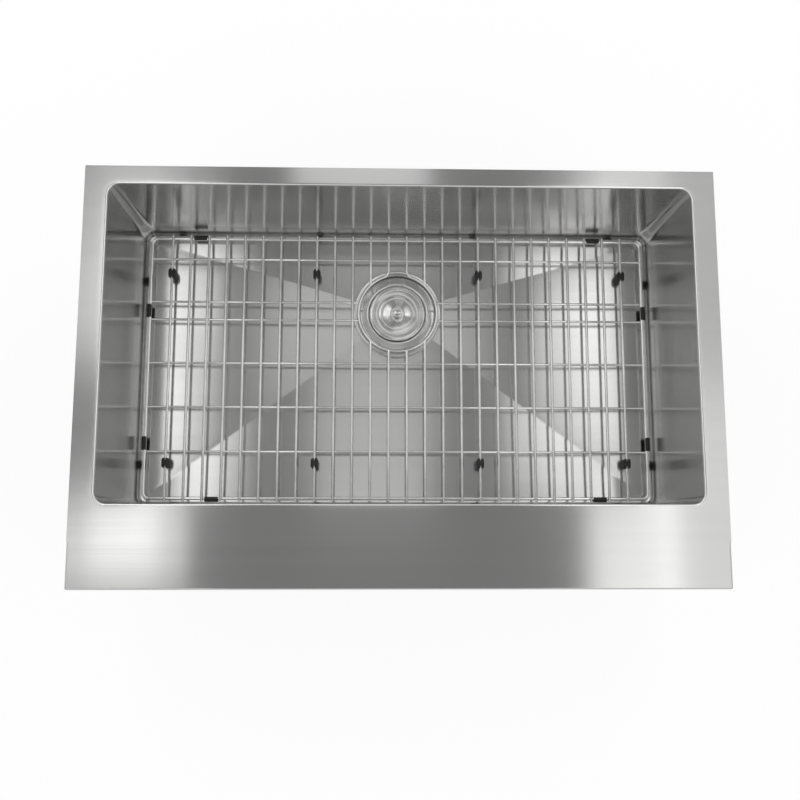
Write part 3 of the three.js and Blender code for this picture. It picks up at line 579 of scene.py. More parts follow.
def drain_reach(part):
    """Distance of a face's or vertex's middle from the upright line through the drain."""
    co = part.co if hasattr(part, "co") else part.calc_center_median()
    return math.hypot(co.x, co.y - DRAIN_Y)


start_edit(bowl, "EDGE")
for place, axis, cuts in ((BOWL_FRONT + COVE, 1, FRONT_CUTS), (BOWL_BACK - COVE, 1, BACK_CUTS),
                          (-BOWL_HALF + COVE, 0, SIDE_CUTS), (BOWL_HALF - COVE, 0, SIDE_CUTS)):
    found = pick(bowl, "EDGE", lambda edge: floor_edge(edge, place, axis))
    bpy.ops.mesh.subdivide(number_cuts=cuts)
    print("floor edge at", round(place / MM, 1), "found", found, "cuts", cuts)
pick(bowl, "FACE", floor_face)
bpy.ops.mesh.poke()
end_edit()
floor_points = [vert for vert in bowl.data.vertices if vert.co.z < FLOOR_ZONE]
middle = min(floor_points, key=lambda vert: (vert.co.xy - Vector((0, BOWL_MIDDLE_Y))).length)
middle.co = (0, DRAIN_Y, -WALL_DEPTH - FLOOR_FALL)
start_edit(bowl, "VERT")
pick(bowl, "VERT", lambda vert: drain_reach(vert) < LOOSE)
bpy.ops.mesh.bevel(offset=RECESS_TOP, segments=1, affect="VERTICES")
found = pick(bowl, "FACE", lambda face: floor_face(face) and drain_reach(face) < 10 * MM)
print("recess face:", found)
press_down(0, 1 * MM)
shrink = RECESS_LAND / RECESS_TOP
bpy.ops.transform.resize(value=(shrink, shrink, 0), center_override=(0, DRAIN_Y, LAND_Z))
bpy.ops.mesh.inset(thickness=RECESS_LAND - DRAIN_HOLE, use_even_offset=True)
bpy.ops.mesh.delete(type="FACE")
end_edit()
print("recess land at", round(min(v.co.z for v in bowl.data.vertices) / MM, 2))

# %% [markdown]
# A press never leaves a knife edge: both rims of the recess are rolled with a small bevel. Then
# the single skin gets the sheet's thickness on its outside.

# %% Roll the recess and give the sheet its thickness
RECESS_ROLL = 4.2 * MM
LAND_ROLL = 1.2 * MM
RING_PLAY = 0.4 * MM


def ring_edge(edge, radius):
    """True for a short edge of the recess that runs round the drain at that radius."""
    return edge.calc_length() < 20 * MM and all(
        abs(drain_reach(vert) - radius) < RING_PLAY and vert.co.z < FLOOR_ZONE
        for vert in edge.verts)


start_edit(bowl, "EDGE")
for radius, roll, segments in ((RECESS_TOP, RECESS_ROLL, 8), (RECESS_LAND, LAND_ROLL, 3)):
    pick(bowl, "EDGE", lambda edge: ring_edge(edge, radius))
    bpy.ops.mesh.bevel(offset=roll, segments=segments, affect="EDGES")
end_edit()
apply(bowl, "SOLIDIFY", thickness=SHEET, offset=-1, use_even_offset=True)
soften(bowl)
lay_grain(bowl)
dress(bowl, sheet_steel)
# The faces of the rim bend take the lighter steel: a painted highlight along the opening's edge.
bowl.data.materials.append(rim_highlight_steel)
for face in bowl.data.polygons:
    if -RIM_BEND < face.center.z < 0 and 0.02 < face.normal.z < 0.99:
        face.material_index = 1
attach(bowl, "sink")
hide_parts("bowl")
report_piece(bowl)

# %% [markdown]
# ## The apron
# The apron is one sheet folded down from the deck, round both ends and back under the lower
# edge. A block is bevelled along the folds to their 2.5 mm radius; its open back and the middle of
# its underside are then removed, which leaves the folded skin.

# %% Fold the apron
FOLD_FACETS = 6
RETURN_Y = DECK_FRONT + SIDE_RETURN
LIP_Y = DECK_FRONT + BOTTOM_RETURN


def block(name, size, place):
    """A block of a size (x, y, z) round a place."""
    bpy.ops.mesh.primitive_cube_add(size=1, location=place)
    piece = named(name)
    piece.scale = size
    return settle(piece)


def fold_edge(edge):
    """True for the front face's four edges and the two long upper edges of the ends."""
    first, last = (vert.co for vert in edge.verts)
    at_front = all(abs(co.y - DECK_FRONT) < TIGHT for co in (first, last))
    at_top = all(co.z > -TIGHT for co in (first, last))
    return at_front or (at_top and abs(first.x - last.x) < TIGHT)


apron = block("deck_with_apron", (2 * DECK_HALF, SIDE_RETURN, APRON_HEIGHT),
              (0, (DECK_FRONT + RETURN_Y) / 2, -APRON_HEIGHT / 2))
start_edit(apron, "EDGE")
print("folds:", pick(apron, "EDGE", fold_edge))
bpy.ops.mesh.bevel(offset=FOLD, segments=FOLD_FACETS, profile=0.5, affect="EDGES")
pick(apron, "FACE", lambda face: abs(face.calc_center_median().y - RETURN_Y) < TIGHT)
bpy.ops.mesh.delete(type="FACE")
pick(apron, "FACE", lambda face: face.normal.z < -0.99)
bpy.ops.mesh.bisect(plane_co=(0, LIP_Y, 0), plane_no=(0, 1, 0))
pick(apron, "FACE", lambda face: face.normal.z < -0.99 and face.calc_center_median().y > LIP_Y)
bpy.ops.mesh.delete(type="FACE")
end_edit()
report_piece(apron)

# %% [markdown]
# ## The deck
# The deck carries on from the apron's upper fold. A second plate is laid behind it and cut where
# the folds of the ends begin, so that its middle edge meets the apron's top edge exactly; the two
# are joined and stitched, and the sheet then gets its thickness downwards.

# %% Lay the deck and give the sheet its thickness
bpy.ops.mesh.primitive_plane_add(size=1, location=(0, (RETURN_Y + DECK_BACK) / 2, 0))
plate = named("deck_plate")
plate.scale = (2 * DECK_HALF, DECK_BACK - RETURN_Y, 1)
settle(plate)
start_edit(plate)
for side in (-1, 1):
    take_all()
    bpy.ops.mesh.bisect(plane_co=(side * (DECK_HALF - FOLD), 0, 0), plane_no=(1, 0, 0))
end_edit()
deck = fuse([apron, plate], "deck_with_apron")
start_edit(deck, "VERT")
take_all()
bpy.ops.mesh.remove_doubles(threshold=0.02 * MM)
end_edit()
apply(deck, "SOLIDIFY", thickness=SHEET, offset=-1, use_even_offset=True)
report_piece(deck)

# %% [markdown]
# The opening is punched with a tool of the bowl's own outline, so that the bowl's flange fills it
# without a seam, as after welding and grinding.

# %% Punch the opening
PUNCH_REACH = 5 * MM
punch = flange_plate("opening_punch", PUNCH_REACH)
press_down(0, 2 * PUNCH_REACH)
take_all()
bpy.ops.mesh.normals_make_consistent(inside=False)
end_edit()


def cut_away(obj, tool, operation="DIFFERENCE"):
    """Cuts a tool's shape out of an object, and puts the tool away."""
    apply(obj, "BOOLEAN", object=tool, operation=operation, solver="EXACT")
    bpy.data.objects.remove(tool)
    return obj


cut_away(deck, punch)
soften(deck)
lay_grain(deck)
dress(deck, sheet_steel)
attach(deck, "sink")
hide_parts("deck_and_apron")
report_piece(deck)

# %% [markdown]
# ## Wires of the grid
# The grid is welded from round wire. Straight wires are plain bars with softened ends; the frame
# and the keyhole are bent, so they are drawn as curves with a round section and then turned into
# meshes. Cross wires lie under the long ones and just touch them, as welded wire does.

# %% Sizes and places of the wires
LONG_WIRE = 4 * MM
CROSS_WIRE = 3.5 * MM
FRAME_WIRE = 5 * MM
LONG_Z = -216.5 * MM
WELD_BITE = 0.25 * MM
CROSS_Z = LONG_Z - (LONG_WIRE + CROSS_WIRE) / 2 + WELD_BITE
FRAME_Z = LONG_Z - (LONG_WIRE + FRAME_WIRE) / 2
FRAME_HALF = 377.2 * MM
FRAME_FRONT = -157.2 * MM
FRAME_BACK = 239.7 * MM
FRAME_CORNER = 9 * MM
LONG_OVERHANG = 4.5 * MM
LONG_FRONT = FRAME_FRONT - LONG_OVERHANG
LONG_BACK = FRAME_BACK + LONG_OVERHANG
PITCH = 27.6 * MM
RING_Y = 124.5 * MM
RING_RADIUS = 59.7 * MM
NECK_BEND = 12 * MM
LONG_PLACES = [PITCH * (bay + 0.5) for bay in range(13)]
CROSS_PLACES = {"front": (-87.9 * MM, -21.0 * MM, 45.9 * MM), "ring": (112.8 * MM, 140.3 * MM),
                "back": (207.2 * MM,)}
WIRE_SIDES = 20
CUT_ROUND = 0.14
print("long wires:", 2 * len(LONG_PLACES), "outermost at", LONG_PLACES[-1] / MM)


def bar(name, start, end, diameter):
    """A straight wire between two points, with its cut ends rounded off."""
    start, end = Vector(start), Vector(end)
    along = end - start
    bpy.ops.mesh.primitive_cylinder_add(vertices=WIRE_SIDES, radius=diameter / 2,
                                        depth=along.length, location=(start + end) / 2)
    wire = named(name)
    wire.rotation_euler = along.to_track_quat("Z", "X").to_euler()
    settle(wire)
    start_edit(wire)
    pick(wire, "FACE", lambda face: len(face.verts) > 4)
    bpy.ops.mesh.bevel(offset=diameter * CUT_ROUND, segments=2, affect="EDGES")
    end_edit()
    return wire


def bent_wire(name, points, diameter, closed):
    """A wire drawn as a curve through points, given a round section and made a mesh."""
    curve = bpy.data.curves.new(name, "CURVE")
    curve.dimensions = "3D"
    curve.bevel_depth = diameter / 2
    curve.bevel_resolution = WIRE_SIDES // 4 - 2
    curve.use_fill_caps = not closed
    spline = curve.splines.new("POLY")
    spline.points.add(len(points) - 1)
    for point, co in zip(spline.points, points):
        point.co = (*co, 1)
    spline.use_cyclic_u = closed
    wire = hold(bring_in(bpy.data.objects.new(name, curve)))
    bpy.ops.object.convert(target="MESH")
    start_edit(wire, "VERT")
    take_all()
    bpy.ops.mesh.remove_doubles(threshold=0.001 * MM)
    bpy.ops.mesh.normals_make_consistent(inside=False)
    end_edit()
    return wire


def arc(x, y, radius, first, last, steps=8):
    """Points on an arc in plan, with the angles in degrees."""
    angles = [math.radians(first + (last - first) * step / steps) for step in range(steps + 1)]
    return [(x + radius * math.cos(angle), y + radius * math.sin(angle)) for angle in angles]


# %% [markdown]
# The grain of a drawn wire is lost when the grid is electropolished: what is left is a bright,
# slightly soft mirror, a little duller where it was handled.

# %% Electropolished wire finish
def mottled(name, stops, cloud, roughness, relief, metallic=0):
    """A finish clouded by noise: stops are the (place, tint) ends of its ramp, cloud is (scale,
    detail), roughness (least, most) and relief (scale, strength, depth). A relief with no scale
    of its own follows the cloud."""
    look, tree, shader = new_look(name)
    place = add_node(tree, "ShaderNodeTexCoord")
    clouds = noise_of(tree, place.outputs["Object"], *cloud)
    scale, strength, depth = relief
    grain = noise_of(tree, place.outputs["Object"], scale, 2.0) if scale else clouds
    bump = add_node(tree, "ShaderNodeBump", Height=grain, Strength=strength, Distance=depth)
    feed(tree, shader, Base_Color=ramp_of(tree, clouds, stops), Metallic=metallic,
         Roughness=spread(tree, clouds, *roughness), Normal=bump.outputs[0])
    return look


def polished_wire(name, tint, roughness):
    dull = tuple(v * 0.93 for v in tint)
    return mottled(name, ((0.3, dull), (0.7, tint)), (60.0, 3.0),
                   (roughness - 0.04, roughness + 0.06), (1400.0, 0.05, 0.03 * MM), metallic=1)


def hang(obj, look, slot, *nodes):
    """Smooths a piece of the grid, dresses it, hangs it on the grid and hides the measured parts it
    stands for.
    """
    hold(obj)
    bpy.ops.object.shade_smooth_by_angle(angle=math.radians(40))
    dress(obj, look)
    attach(obj, "grid")
    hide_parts(*nodes)


def hang_wire(wire, *nodes):
    hang(wire, wire_finish, "wire_steel", *nodes)


wire_finish = polished_wire("electropolished_wire", (0.92, 0.92, 0.91), 0.19)
print("finish:", wire_finish.name)

# %% [markdown]
# ## Frame, keyhole and bars
# The keyhole lets a hand and the strainer basket through: the middle pair of wires comes forward,
# spreads in two small bends and closes in one ring. The other wires stop at that ring.

# %% Bend the frame and the keyhole
inner_x = FRAME_HALF - FRAME_CORNER
front_y = FRAME_FRONT + FRAME_CORNER
back_y = FRAME_BACK - FRAME_CORNER
frame_points = []
for x, y, first in ((inner_x, front_y, -90), (inner_x, back_y, 0), (-inner_x, back_y, 90),
                    (-inner_x, front_y, 180)):
    frame_points += [(*point, FRAME_Z) for point in arc(x, y, FRAME_CORNER, first, first + 90)]
frame_wire = bent_wire("grid_frame_wire", frame_points, FRAME_WIRE, True)
hang_wire(frame_wire, "grid_frame")

neck = PITCH / 2
bend_x = neck + NECK_BEND
bend_y = RING_Y + math.sqrt((RING_RADIUS + NECK_BEND) ** 2 - bend_x ** 2)
meet = math.degrees(math.atan2(bend_y - RING_Y, bend_x))
right_neck = [(neck, LONG_BACK)] + arc(bend_x, bend_y, NECK_BEND, 180, 180 + meet)
ring_points = arc(0, RING_Y, RING_RADIUS, meet, -180 - meet, 60)[1:-1]
left_neck = [(-x, y) for x, y in reversed(right_neck)]
keyhole_points = [(x, y, LONG_Z) for x, y in right_neck + ring_points + left_neck]
keyhole_wire = bent_wire("grid_keyhole_wire", keyhole_points, LONG_WIRE, False)
hang_wire(keyhole_wire, "grid_keyhole")
report_piece(frame_wire)
report_piece(keyhole_wire)

# %% [markdown]
# The bars that run past the ring on each side are welded up with the short cross wires beside it.
# The bars that end at the ring stay pieces of their own, and so do the long cross wires.

# %% Straight bars
def chord(offset):
    """Half the ring's width at a distance from its middle."""
    return math.sqrt(RING_RADIUS ** 2 - offset ** 2)


def long_bar(name, x, front, back):
    return bar(name, (x, front, LONG_Z), (x, back, LONG_Z), LONG_WIRE)


def cross_bar(name, y, left, right):
    return bar(name, (left, y, CROSS_Z), (right, y, CROSS_Z), CROSS_WIRE)


CROSS_END = FRAME_HALF - FRAME_WIRE / 2 + WELD_BITE
whole_places = [x for x in LONG_PLACES if x > RING_RADIUS]
ring_places = [x for x in LONG_PLACES if x < RING_RADIUS]
for side, sign in (("left", -1), ("right", 1)):
    wires = [long_bar("wire", sign * x, LONG_FRONT, LONG_BACK) for x in whole_places]
    wires += [cross_bar("wire", y, sign * chord(y - RING_Y), sign * CROSS_END)
              for y in CROSS_PLACES["ring"]]
    hang_wire(fuse(wires, f"grid_bars_{side}"), f"grid_wires_{side}")
    for bay, x in enumerate(ring_places, 1):
        front = long_bar(f"grid_bar_front_{side}_{bay}", sign * x, LONG_FRONT, RING_Y - chord(x))
        hang_wire(front, f"grid_wire_front_{side}_{bay}")
        if bay > 1:
            back = long_bar(f"grid_bar_back_{side}_{bay}", sign * x, RING_Y + chord(x), LONG_BACK)
            hang_wire(back, f"grid_wire_back_{side}_{bay}")
for number, y in enumerate(CROSS_PLACES["front"] + CROSS_PLACES["back"], 1):
    cross = cross_bar(f"grid_cross_bar_{number}", y, -CROSS_END, CROSS_END)
    hang_wire(cross, f"grid_cross_wire_{number}")
report_piece(cross)

# %% [markdown]
# ## Rubber feet
# Each foot is a moulded block pushed over a long wire from below: two rounded cheeks hug the
# wire, and it shows in a notch at both ends. The block is rounded, bored and notched once; the
# others are copies of it.

# %% Mould one foot
FOOT_WIDTH = 11 * MM
FOOT_LENGTH = 15.5 * MM
FOOT_CAP = 3.2 * MM
FOOT_DROP = 20 * MM
FOOT_CORNER = 4 * MM
CAP_ROUND = 1.6 * MM
NOTCH_LENGTH = 3.6 * MM
NOTCH_WIDTH = 4.8 * MM
NOTCH_TAPER = 0.45
TOOL_REACH = 1.2
foot_low = LONG_Z - FOOT_DROP
foot_high = LONG_Z + FOOT_CAP


def rod(name, radius, length, sides, x=0, z=0):
    """A round bar that lies from front to back."""
    bpy.ops.mesh.primitive_cylinder_add(vertices=sides, radius=radius, depth=length,
                                        location=(x, 0, z), rotation=(math.pi / 2, 0, 0))
    return settle(named(name))


foot = block("foot_pattern", (FOOT_WIDTH, FOOT_LENGTH, foot_high - foot_low),
             (0, 0, (foot_high + foot_low) / 2))
start_edit(foot, "EDGE")
pick(foot, "EDGE", lambda edge: abs(edge.verts[0].co.z - edge.verts[1].co.z) > 5 * MM)
bpy.ops.mesh.bevel(offset=FOOT_CORNER, segments=6, affect="EDGES")
pick(foot, "EDGE", lambda edge: all(vert.co.z > foot_high - TIGHT for vert in edge.verts))
bpy.ops.mesh.bevel(offset=CAP_ROUND, segments=4, affect="EDGES")
end_edit()
cut_away(foot, rod("wire_bore", LONG_WIRE / 2 + 0.1 * MM, FOOT_LENGTH * TOOL_REACH, 24, z=LONG_Z))
for end in (-1, 1):
    notch = block("end_notch", (NOTCH_WIDTH, 2 * NOTCH_LENGTH, 10 * MM),
                  (0, end * FOOT_LENGTH / 2, LONG_Z + 5 * MM))
    start_edit(notch, "VERT")
    pick(notch, "VERT", lambda vert: vert.co.y * end < FOOT_LENGTH / 2)
    bpy.ops.transform.resize(value=(NOTCH_TAPER, 1, 1), center_override=(0, 0, 0))
    end_edit()
    cut_away(foot, notch)
report_piece(foot)

# %% [markdown]
# The rubber is nearly black and matt, with a fine moulded tooth and a little dust on it.

# %% Black rubber
def rubber(name, tint, roughness, tooth):
    dusty = tuple(v + 0.02 for v in tint)
    return mottled(name, ((0.35, tint), (0.75, dusty)), (120.0, 4.0),
                   (roughness - 0.08, roughness + 0.08), (2600.0, tooth, 0.06 * MM))


grid_rubber = rubber("black_grid_rubber", (0.012, 0.012, 0.012), 0.5, 0.3)
seal_rubber = rubber("soft_seal_rubber", (0.02, 0.02, 0.021), 0.6, 0.2)
print("finishes:", grid_rubber.name, seal_rubber.name)

# %% [markdown]
# Each copy goes to its wire, and its sole is drawn in a little and moved to the height that the
# measured model gives, because the floor falls towards the drain.

# %% Copy the feet to their wires
SOLE_TAPER = (0.9, 0.85, 1)
inner_x, outer_x = LONG_PLACES[4], LONG_PLACES[-1]
foot_rows = {"back": FRAME_BACK - 55.7 * MM, "front": FRAME_FRONT + 52.2 * MM}
foot_columns = {"left_outer": -outer_x, "left_inner": -inner_x, "right_inner": inner_x,
                "right_outer": outer_x}
for row, y in foot_rows.items():
    for column, x in foot_columns.items():
        piece = copy_of(foot, f"rubber_foot_{row}_{column}")
        start_edit(piece, "VERT")
        take_all()
        bpy.ops.transform.translate(value=(x, y, 0))
        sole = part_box(f"grid_foot_{row}_{column}")[0].z
        pick(piece, "VERT", lambda vert: vert.co.z < foot_low + TIGHT)
        bpy.ops.transform.translate(value=(0, 0, sole - foot_low))
        bpy.ops.transform.resize(value=SOLE_TAPER, center_override=(x, y, sole))
        end_edit()
        hang(piece, grid_rubber, "grid_rubber", f"grid_foot_{row}_{column}")
bpy.data.objects.remove(foot)
report_piece(piece)

# %% [markdown]
# ## Rubber bumpers
# A bumper is a short split sleeve clipped on the frame wire, thick towards the bowl's wall so
# that the grid never scratches it. It is a cylinder with rolled ends, bored off its middle.

# %% Mould one bumper and clip the copies on
BUMPER_RADIUS = 3.8 * MM
BUMPER_OFFSET = 1.3 * MM
BUMPER_LENGTH = 20.5 * MM
BUMPER_ROLL = 1.1 * MM
BORE_LENGTH = BUMPER_LENGTH * TOOL_REACH
bumper = rod("bumper_pattern", BUMPER_RADIUS, BUMPER_LENGTH, 32, x=BUMPER_OFFSET)
start_edit(bumper)
pick(bumper, "FACE", lambda face: len(face.verts) > 4)
bpy.ops.mesh.bevel(offset=BUMPER_ROLL, segments=4, affect="EDGES")
end_edit()
cut_away(bumper, rod("frame_bore", FRAME_WIRE / 2 + 0.08 * MM, BORE_LENGTH, 32))
cut_away(bumper, block("split", (2 * MM, BORE_LENGTH, 1.1 * MM),
                       (-FRAME_WIRE / 2 - 0.4 * MM, 0, 0)))
FACING = {"right": 0, "back": 90, "left": 180, "front": 270}
for node in sorted(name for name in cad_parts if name.startswith("grid_bumper_")):
    side, place = node.split("_")[2:4]
    low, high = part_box(node)
    middle = (low + high) / 2
    on_wire = {"left": (-FRAME_HALF, middle.y), "right": (FRAME_HALF, middle.y),
               "back": (middle.x, FRAME_BACK), "front": (middle.x, FRAME_FRONT)}[side]
    piece = copy_of(bumper, f"rubber_bumper_{side}_{place}")
    piece.rotation_euler = (0, 0, math.radians(FACING[side]))
    piece.location = (*on_wire, FRAME_Z)
    hang(settle(piece), grid_rubber, "grid_rubber", node)
bpy.data.objects.remove(bumper)
report_piece(piece)

# %% [markdown]
# ## Turned drain pieces
# The strainer, its basket, the knob and the rings under the bowl are all turned, so each is one
# outline swept round the upright line through the drain. The outline is walked point by point:
# a ring of edges is drawn out to the next radius and height, until it meets its own start.

# %% Helper for turned pieces
TURNED_STEPS = 96
SEAT = 0.3 * MM


def profile(base, *points):
    """Points of an outline: radii in millimetres, and heights in millimetres over a base."""
    return [(radius * MM, base + height * MM) for radius, height in points]


def turned(name, outline, steps=TURNED_STEPS):
    """A piece turned round the drain; outline lists (radius, height) and closes on itself, or
    starts and ends on the axis."""
    on_axis = outline[0][0] == 0
    ring = outline[1:-1] if on_axis else outline + outline[:1]
    radius, height = ring[0]
    bpy.ops.mesh.primitive_circle_add(vertices=steps, radius=radius, location=(0, DRAIN_Y, height),
                                      fill_type="NGON" if on_axis else "NOTHING")
    piece = settle(named(name))
    start_edit(piece, "EDGE")
    take_all()
    if on_axis:
        bpy.ops.mesh.delete(type="ONLY_FACE")
        take_all()
    for next_radius, next_height in ring[1:]:
        bpy.ops.mesh.extrude_edges_move(
            TRANSFORM_OT_translate={"value": (0, 0, next_height - height)})
        growth = next_radius / radius
        bpy.ops.transform.resize(value=(growth, growth, 1),
                                 center_override=(0, DRAIN_Y, next_height))
        radius, height = next_radius, next_height
    take_all()
    bpy.ops.mesh.remove_doubles(threshold=0.002 * MM)
    if on_axis:
        for _, end_height in (ring[0], ring[-1]):
            pick(piece, "EDGE", lambda edge: edge.is_boundary
                 and abs(edge.verts[0].co.z - end_height) < 0.001 * MM)
            bpy.ops.mesh.edge_face_add()
    take_all()
    bpy.ops.mesh.normals_make_consistent(inside=False)
    end_edit()
    return piece


def round_edges(obj, width, segments=3, degrees=25):
    """Breaks the sharp edges of a turned or moulded piece."""
    return apply(obj, "BEVEL", width=width, segments=segments, limit_method="ANGLE",
                 angle_limit=math.radians(degrees), use_clamp_overlap=True)


def fit_turned(obj, look, body, node):
    soften(obj)
    lay_turned_grain(obj, 0, DRAIN_Y)
    dress(obj, look)
    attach(obj, body)
    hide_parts(node)
    report_piece(obj)
    return obj


# %% [markdown]
# ## Strainer body
# The strainer's flange shows as a bright ring in the floor; its funnel narrows to the ledge that
# carries the basket, and the cup below ends in the threaded outlet. The edges are broken by a
# narrow bevel, because a polished edge catches the light as a thin line.

# %% Turn the strainer body
FLANGE_UNDER = LAND_Z + 2 * SEAT + 0.8 * MM
FLANGE_TOP = FLANGE_UNDER + 1.1 * MM
CROWN_Z = LAND_Z + 3.4 * MM
LEDGE_Z = LAND_Z - 7 * MM
CUP_FLOOR_Z = LAND_Z - 46 * MM
OUTLET_END_Z = CUP_FLOOR_Z - 24 * MM
UNDER_LAND_Z = LAND_Z - SHEET
THREAD_RADIUS = 42.6 * MM
OUTLET_RADIUS = 23.8 * MM
THREAD_END_Z = LAND_Z - 24 * MM
THREAD_PITCH = 2.1 * MM
THREAD_DEPTH = 0.5 * MM


def thread_ribs(radius, top, low):
    """Points up a threaded neck: crests at the radius, roots cut in by the depth."""
    points = []
    while top - THREAD_PITCH > low:
        points += [(radius, top - 0.15 * THREAD_PITCH),
                   (radius - THREAD_DEPTH, top - 0.5 * THREAD_PITCH),
                   (radius, top - 0.85 * THREAD_PITCH)]
        top -= THREAD_PITCH
    return points[::-1]


inner_side = (profile(FLANGE_UNDER, (57.15, 0)) + profile(FLANGE_TOP, (57.15, 0), (55.15, 0.4))
              + profile(CROWN_Z, (51.5, -0.45), (47.9, 0), (46.4, -0.05), (45.5, -0.5))
              + profile(LAND_Z, (41.2, -1)) + profile(LEDGE_Z, (40.4, 0), (38.6, -0.4))
              + profile(CUP_FLOOR_Z, (37.8, 5), (36.6, 2.6), (33.6, 1.2), (23, 0), (19, -3))
              + profile(OUTLET_END_Z, (19, 0)))
outer_side = (profile(OUTLET_END_Z, (23.8, 0))
              + thread_ribs(OUTLET_RADIUS, CUP_FLOOR_Z - 9 * MM, OUTLET_END_Z + 1 * MM)
              + profile(CUP_FLOOR_Z, (23.8, -3.3), (34.9, -1.3), (39.1, 3.7))
              + profile(THREAD_END_Z, (39.9, -1))
              + thread_ribs(THREAD_RADIUS, UNDER_LAND_Z - 3.2 * MM, THREAD_END_Z)
              + [(THREAD_RADIUS, UNDER_LAND_Z), (DRAIN_HOLE - SEAT, UNDER_LAND_Z),
                 (DRAIN_HOLE - SEAT, FLANGE_UNDER)])
strainer = turned("strainer_with_flange", inner_side + outer_side)
round_edges(strainer, 0.35 * MM)
fit_turned(strainer, turned_steel, "sink", "strainer_body")

# %% [markdown]
# ## Seal, gasket, washer and locknut
# A bead of putty lies under the flange. Below the bowl a rubber gasket, a fibre washer and a
# large nut clamp the sheet; the nut has lugs, because it is turned by a tap with a hammer.

# %% Turn the clamping rings
PUTTY_TOP = LAND_Z + SEAT + 0.8 * MM
BORE = THREAD_RADIUS + 0.35 * MM
GASKET_TOP = UNDER_LAND_Z - SEAT
GASKET_LOW = GASKET_TOP - 3 * MM
WASHER_TOP = GASKET_LOW - SEAT
WASHER_LOW = WASHER_TOP - 1 * MM
NUT_TOP = WASHER_LOW - SEAT
NUT_LOW = NUT_TOP - 11 * MM


def flat_ring(name, inner, outer, low, high, edge):
    ring = turned(name, [(inner, low), (outer, low), (outer, high), (inner, high)])
    return round_edges(ring, edge)


def matte(name, tint, roughness, mottle, scale, bump):
    """A dull, slightly mottled finish for putty, fibre and pads."""
    stops = [(0.5 + 0.2 * sign, tuple(v * (1 + sign * mottle) for v in tint)) for sign in (-1, 1)]
    return mottled(name, stops, (scale, 6.0), (roughness - 0.08, roughness + 0.08),
                   (None, bump, 0.2 * MM))


putty_look = matte("sealing_putty", (0.5, 0.47, 0.4), 0.85, 0.12, 300.0, 0.5)
fibre_look = matte("pressed_fibre", (0.42, 0.28, 0.13), 0.88, 0.18, 900.0, 0.4)
nut_look = polished_wire("plated_cast_nut", (0.46, 0.45, 0.41), 0.38)
putty = flat_ring("putty_bead", 45.45 * MM, 56.35 * MM, LAND_Z + SEAT, PUTTY_TOP, 0.25 * MM)
fit_turned(putty, putty_look, "sink", "flange_seal")
gasket = flat_ring("rubber_gasket", BORE, 57 * MM, GASKET_LOW, GASKET_TOP, 0.5 * MM)
fit_turned(gasket, seal_rubber, "sink", "under_sink_gasket")
washer = flat_ring("fibre_washer", BORE, 56 * MM, WASHER_LOW, WASHER_TOP, 0.2 * MM)
fit_turned(washer, fibre_look, "sink", "friction_washer")

# %% [markdown]
# The nut's lugs are blocks set round its edge and united with it one by one.

# %% Turn the locknut and add its lugs
NUT_RADIUS = 50 * MM
LUGS = 8
LUG_SIZE = (7 * MM, 12 * MM, 9 * MM)
nut = turned("locknut_ring", [(BORE, NUT_LOW), (NUT_RADIUS, NUT_LOW), (NUT_RADIUS, NUT_TOP),
                              (BORE, NUT_TOP)])
for index in range(LUGS):
    lug = block("lug", LUG_SIZE, (NUT_RADIUS + 1.5 * MM, 0, NUT_LOW + LUG_SIZE[2] / 2))
    turn = 2 * math.pi * (index + 0.5) / LUGS
    lug.matrix_world = Matrix.Translation((0, DRAIN_Y, 0)) @ Matrix.Rotation(turn, 4, "Z")
    settle(lug)
    cut_away(nut, lug, "UNION")
nut.name = "locknut_with_lugs"
round_edges(nut, 0.8 * MM, degrees=40)
fit_turned(nut, nut_look, "sink", "strainer_locknut")

# %% [markdown]
# ## Basket lid and cup
# The lid is pressed from thin polished sheet: a rolled rim, a shallow dish, one step and a flat
# hub. The same outline, one sheet lower and walked back, makes its underside.

# %% Turn the lid
LID_RIM_Z = LAND_Z + 3.6 * MM
LID_HUB_Z = LID_RIM_Z - 3.2 * MM
LID_SHEET = 0.9 * MM
lid_top = (profile(LID_HUB_Z, (3.4, 0), (10, 0), (11.4, 0.1), (13, 0.4), (17, 1.25), (21, 2.05),
                   (24, 2.45), (25.2, 2.3), (26, 2.35), (27, 2.6), (29.5, 2.95), (32, 3.05),
                   (35, 2.9), (37.5, 2.65))
           + profile(LID_RIM_Z, (39.2, -0.5), (40.6, -0.12), (41.7, 0), (42.6, -0.2),
                     (43.2, -0.7)))
lid_under = [(radius, height - LID_SHEET) for radius, height in reversed(lid_top)]
lid = turned("basket_lid_disc", lid_top + lid_under)
fit_turned(lid, turned_steel, "basket", "basket_lid")

# %% [markdown]
# The cup below hangs on the strainer's ledge. Two rows of holes are drilled through its wall from
# the middle outwards, and one circle of holes through its floor.

# %% Turn and drill the basket
BASKET_RIM_Z = LEDGE_Z + SEAT
STOPPER_TOP_Z = CUP_FLOOR_Z + 2.8 * MM
BASKET_FLOOR_Z = STOPPER_TOP_Z + 10.5 * MM
HUB_TOP_Z = LID_HUB_Z - LID_SHEET - SEAT
BASKET_STEPS = 72
HOLE_SIDES = 16
WALL_HOLES = 10
WALL_HOLE_RADIUS = 2.4 * MM
FLOOR_HOLES = 8
FLOOR_HOLE_RADIUS = 2.2 * MM
HOLE_CIRCLE = 18 * MM
basket_outline = (profile(BASKET_FLOOR_Z, (3.4, 0), (23, 0), (24.5, 0.6), (25, 2))
                  + profile(BASKET_RIM_Z, (34, -3), (35, 0), (39.9, 0), (39.9, 0.9), (34.4, 0.9),
                            (33.1, -2.4))
                  + profile(BASKET_FLOOR_Z, (24.1, 2.6), (22.4, 0.9), (5.5, 0.9))
                  + profile(HUB_TOP_Z, (5.5, 0), (3.4, 0)))
basket = turned("basket_drilled_cup", basket_outline, BASKET_STEPS)
wall_middle = (BASKET_RIM_Z + BASKET_FLOOR_Z) / 2


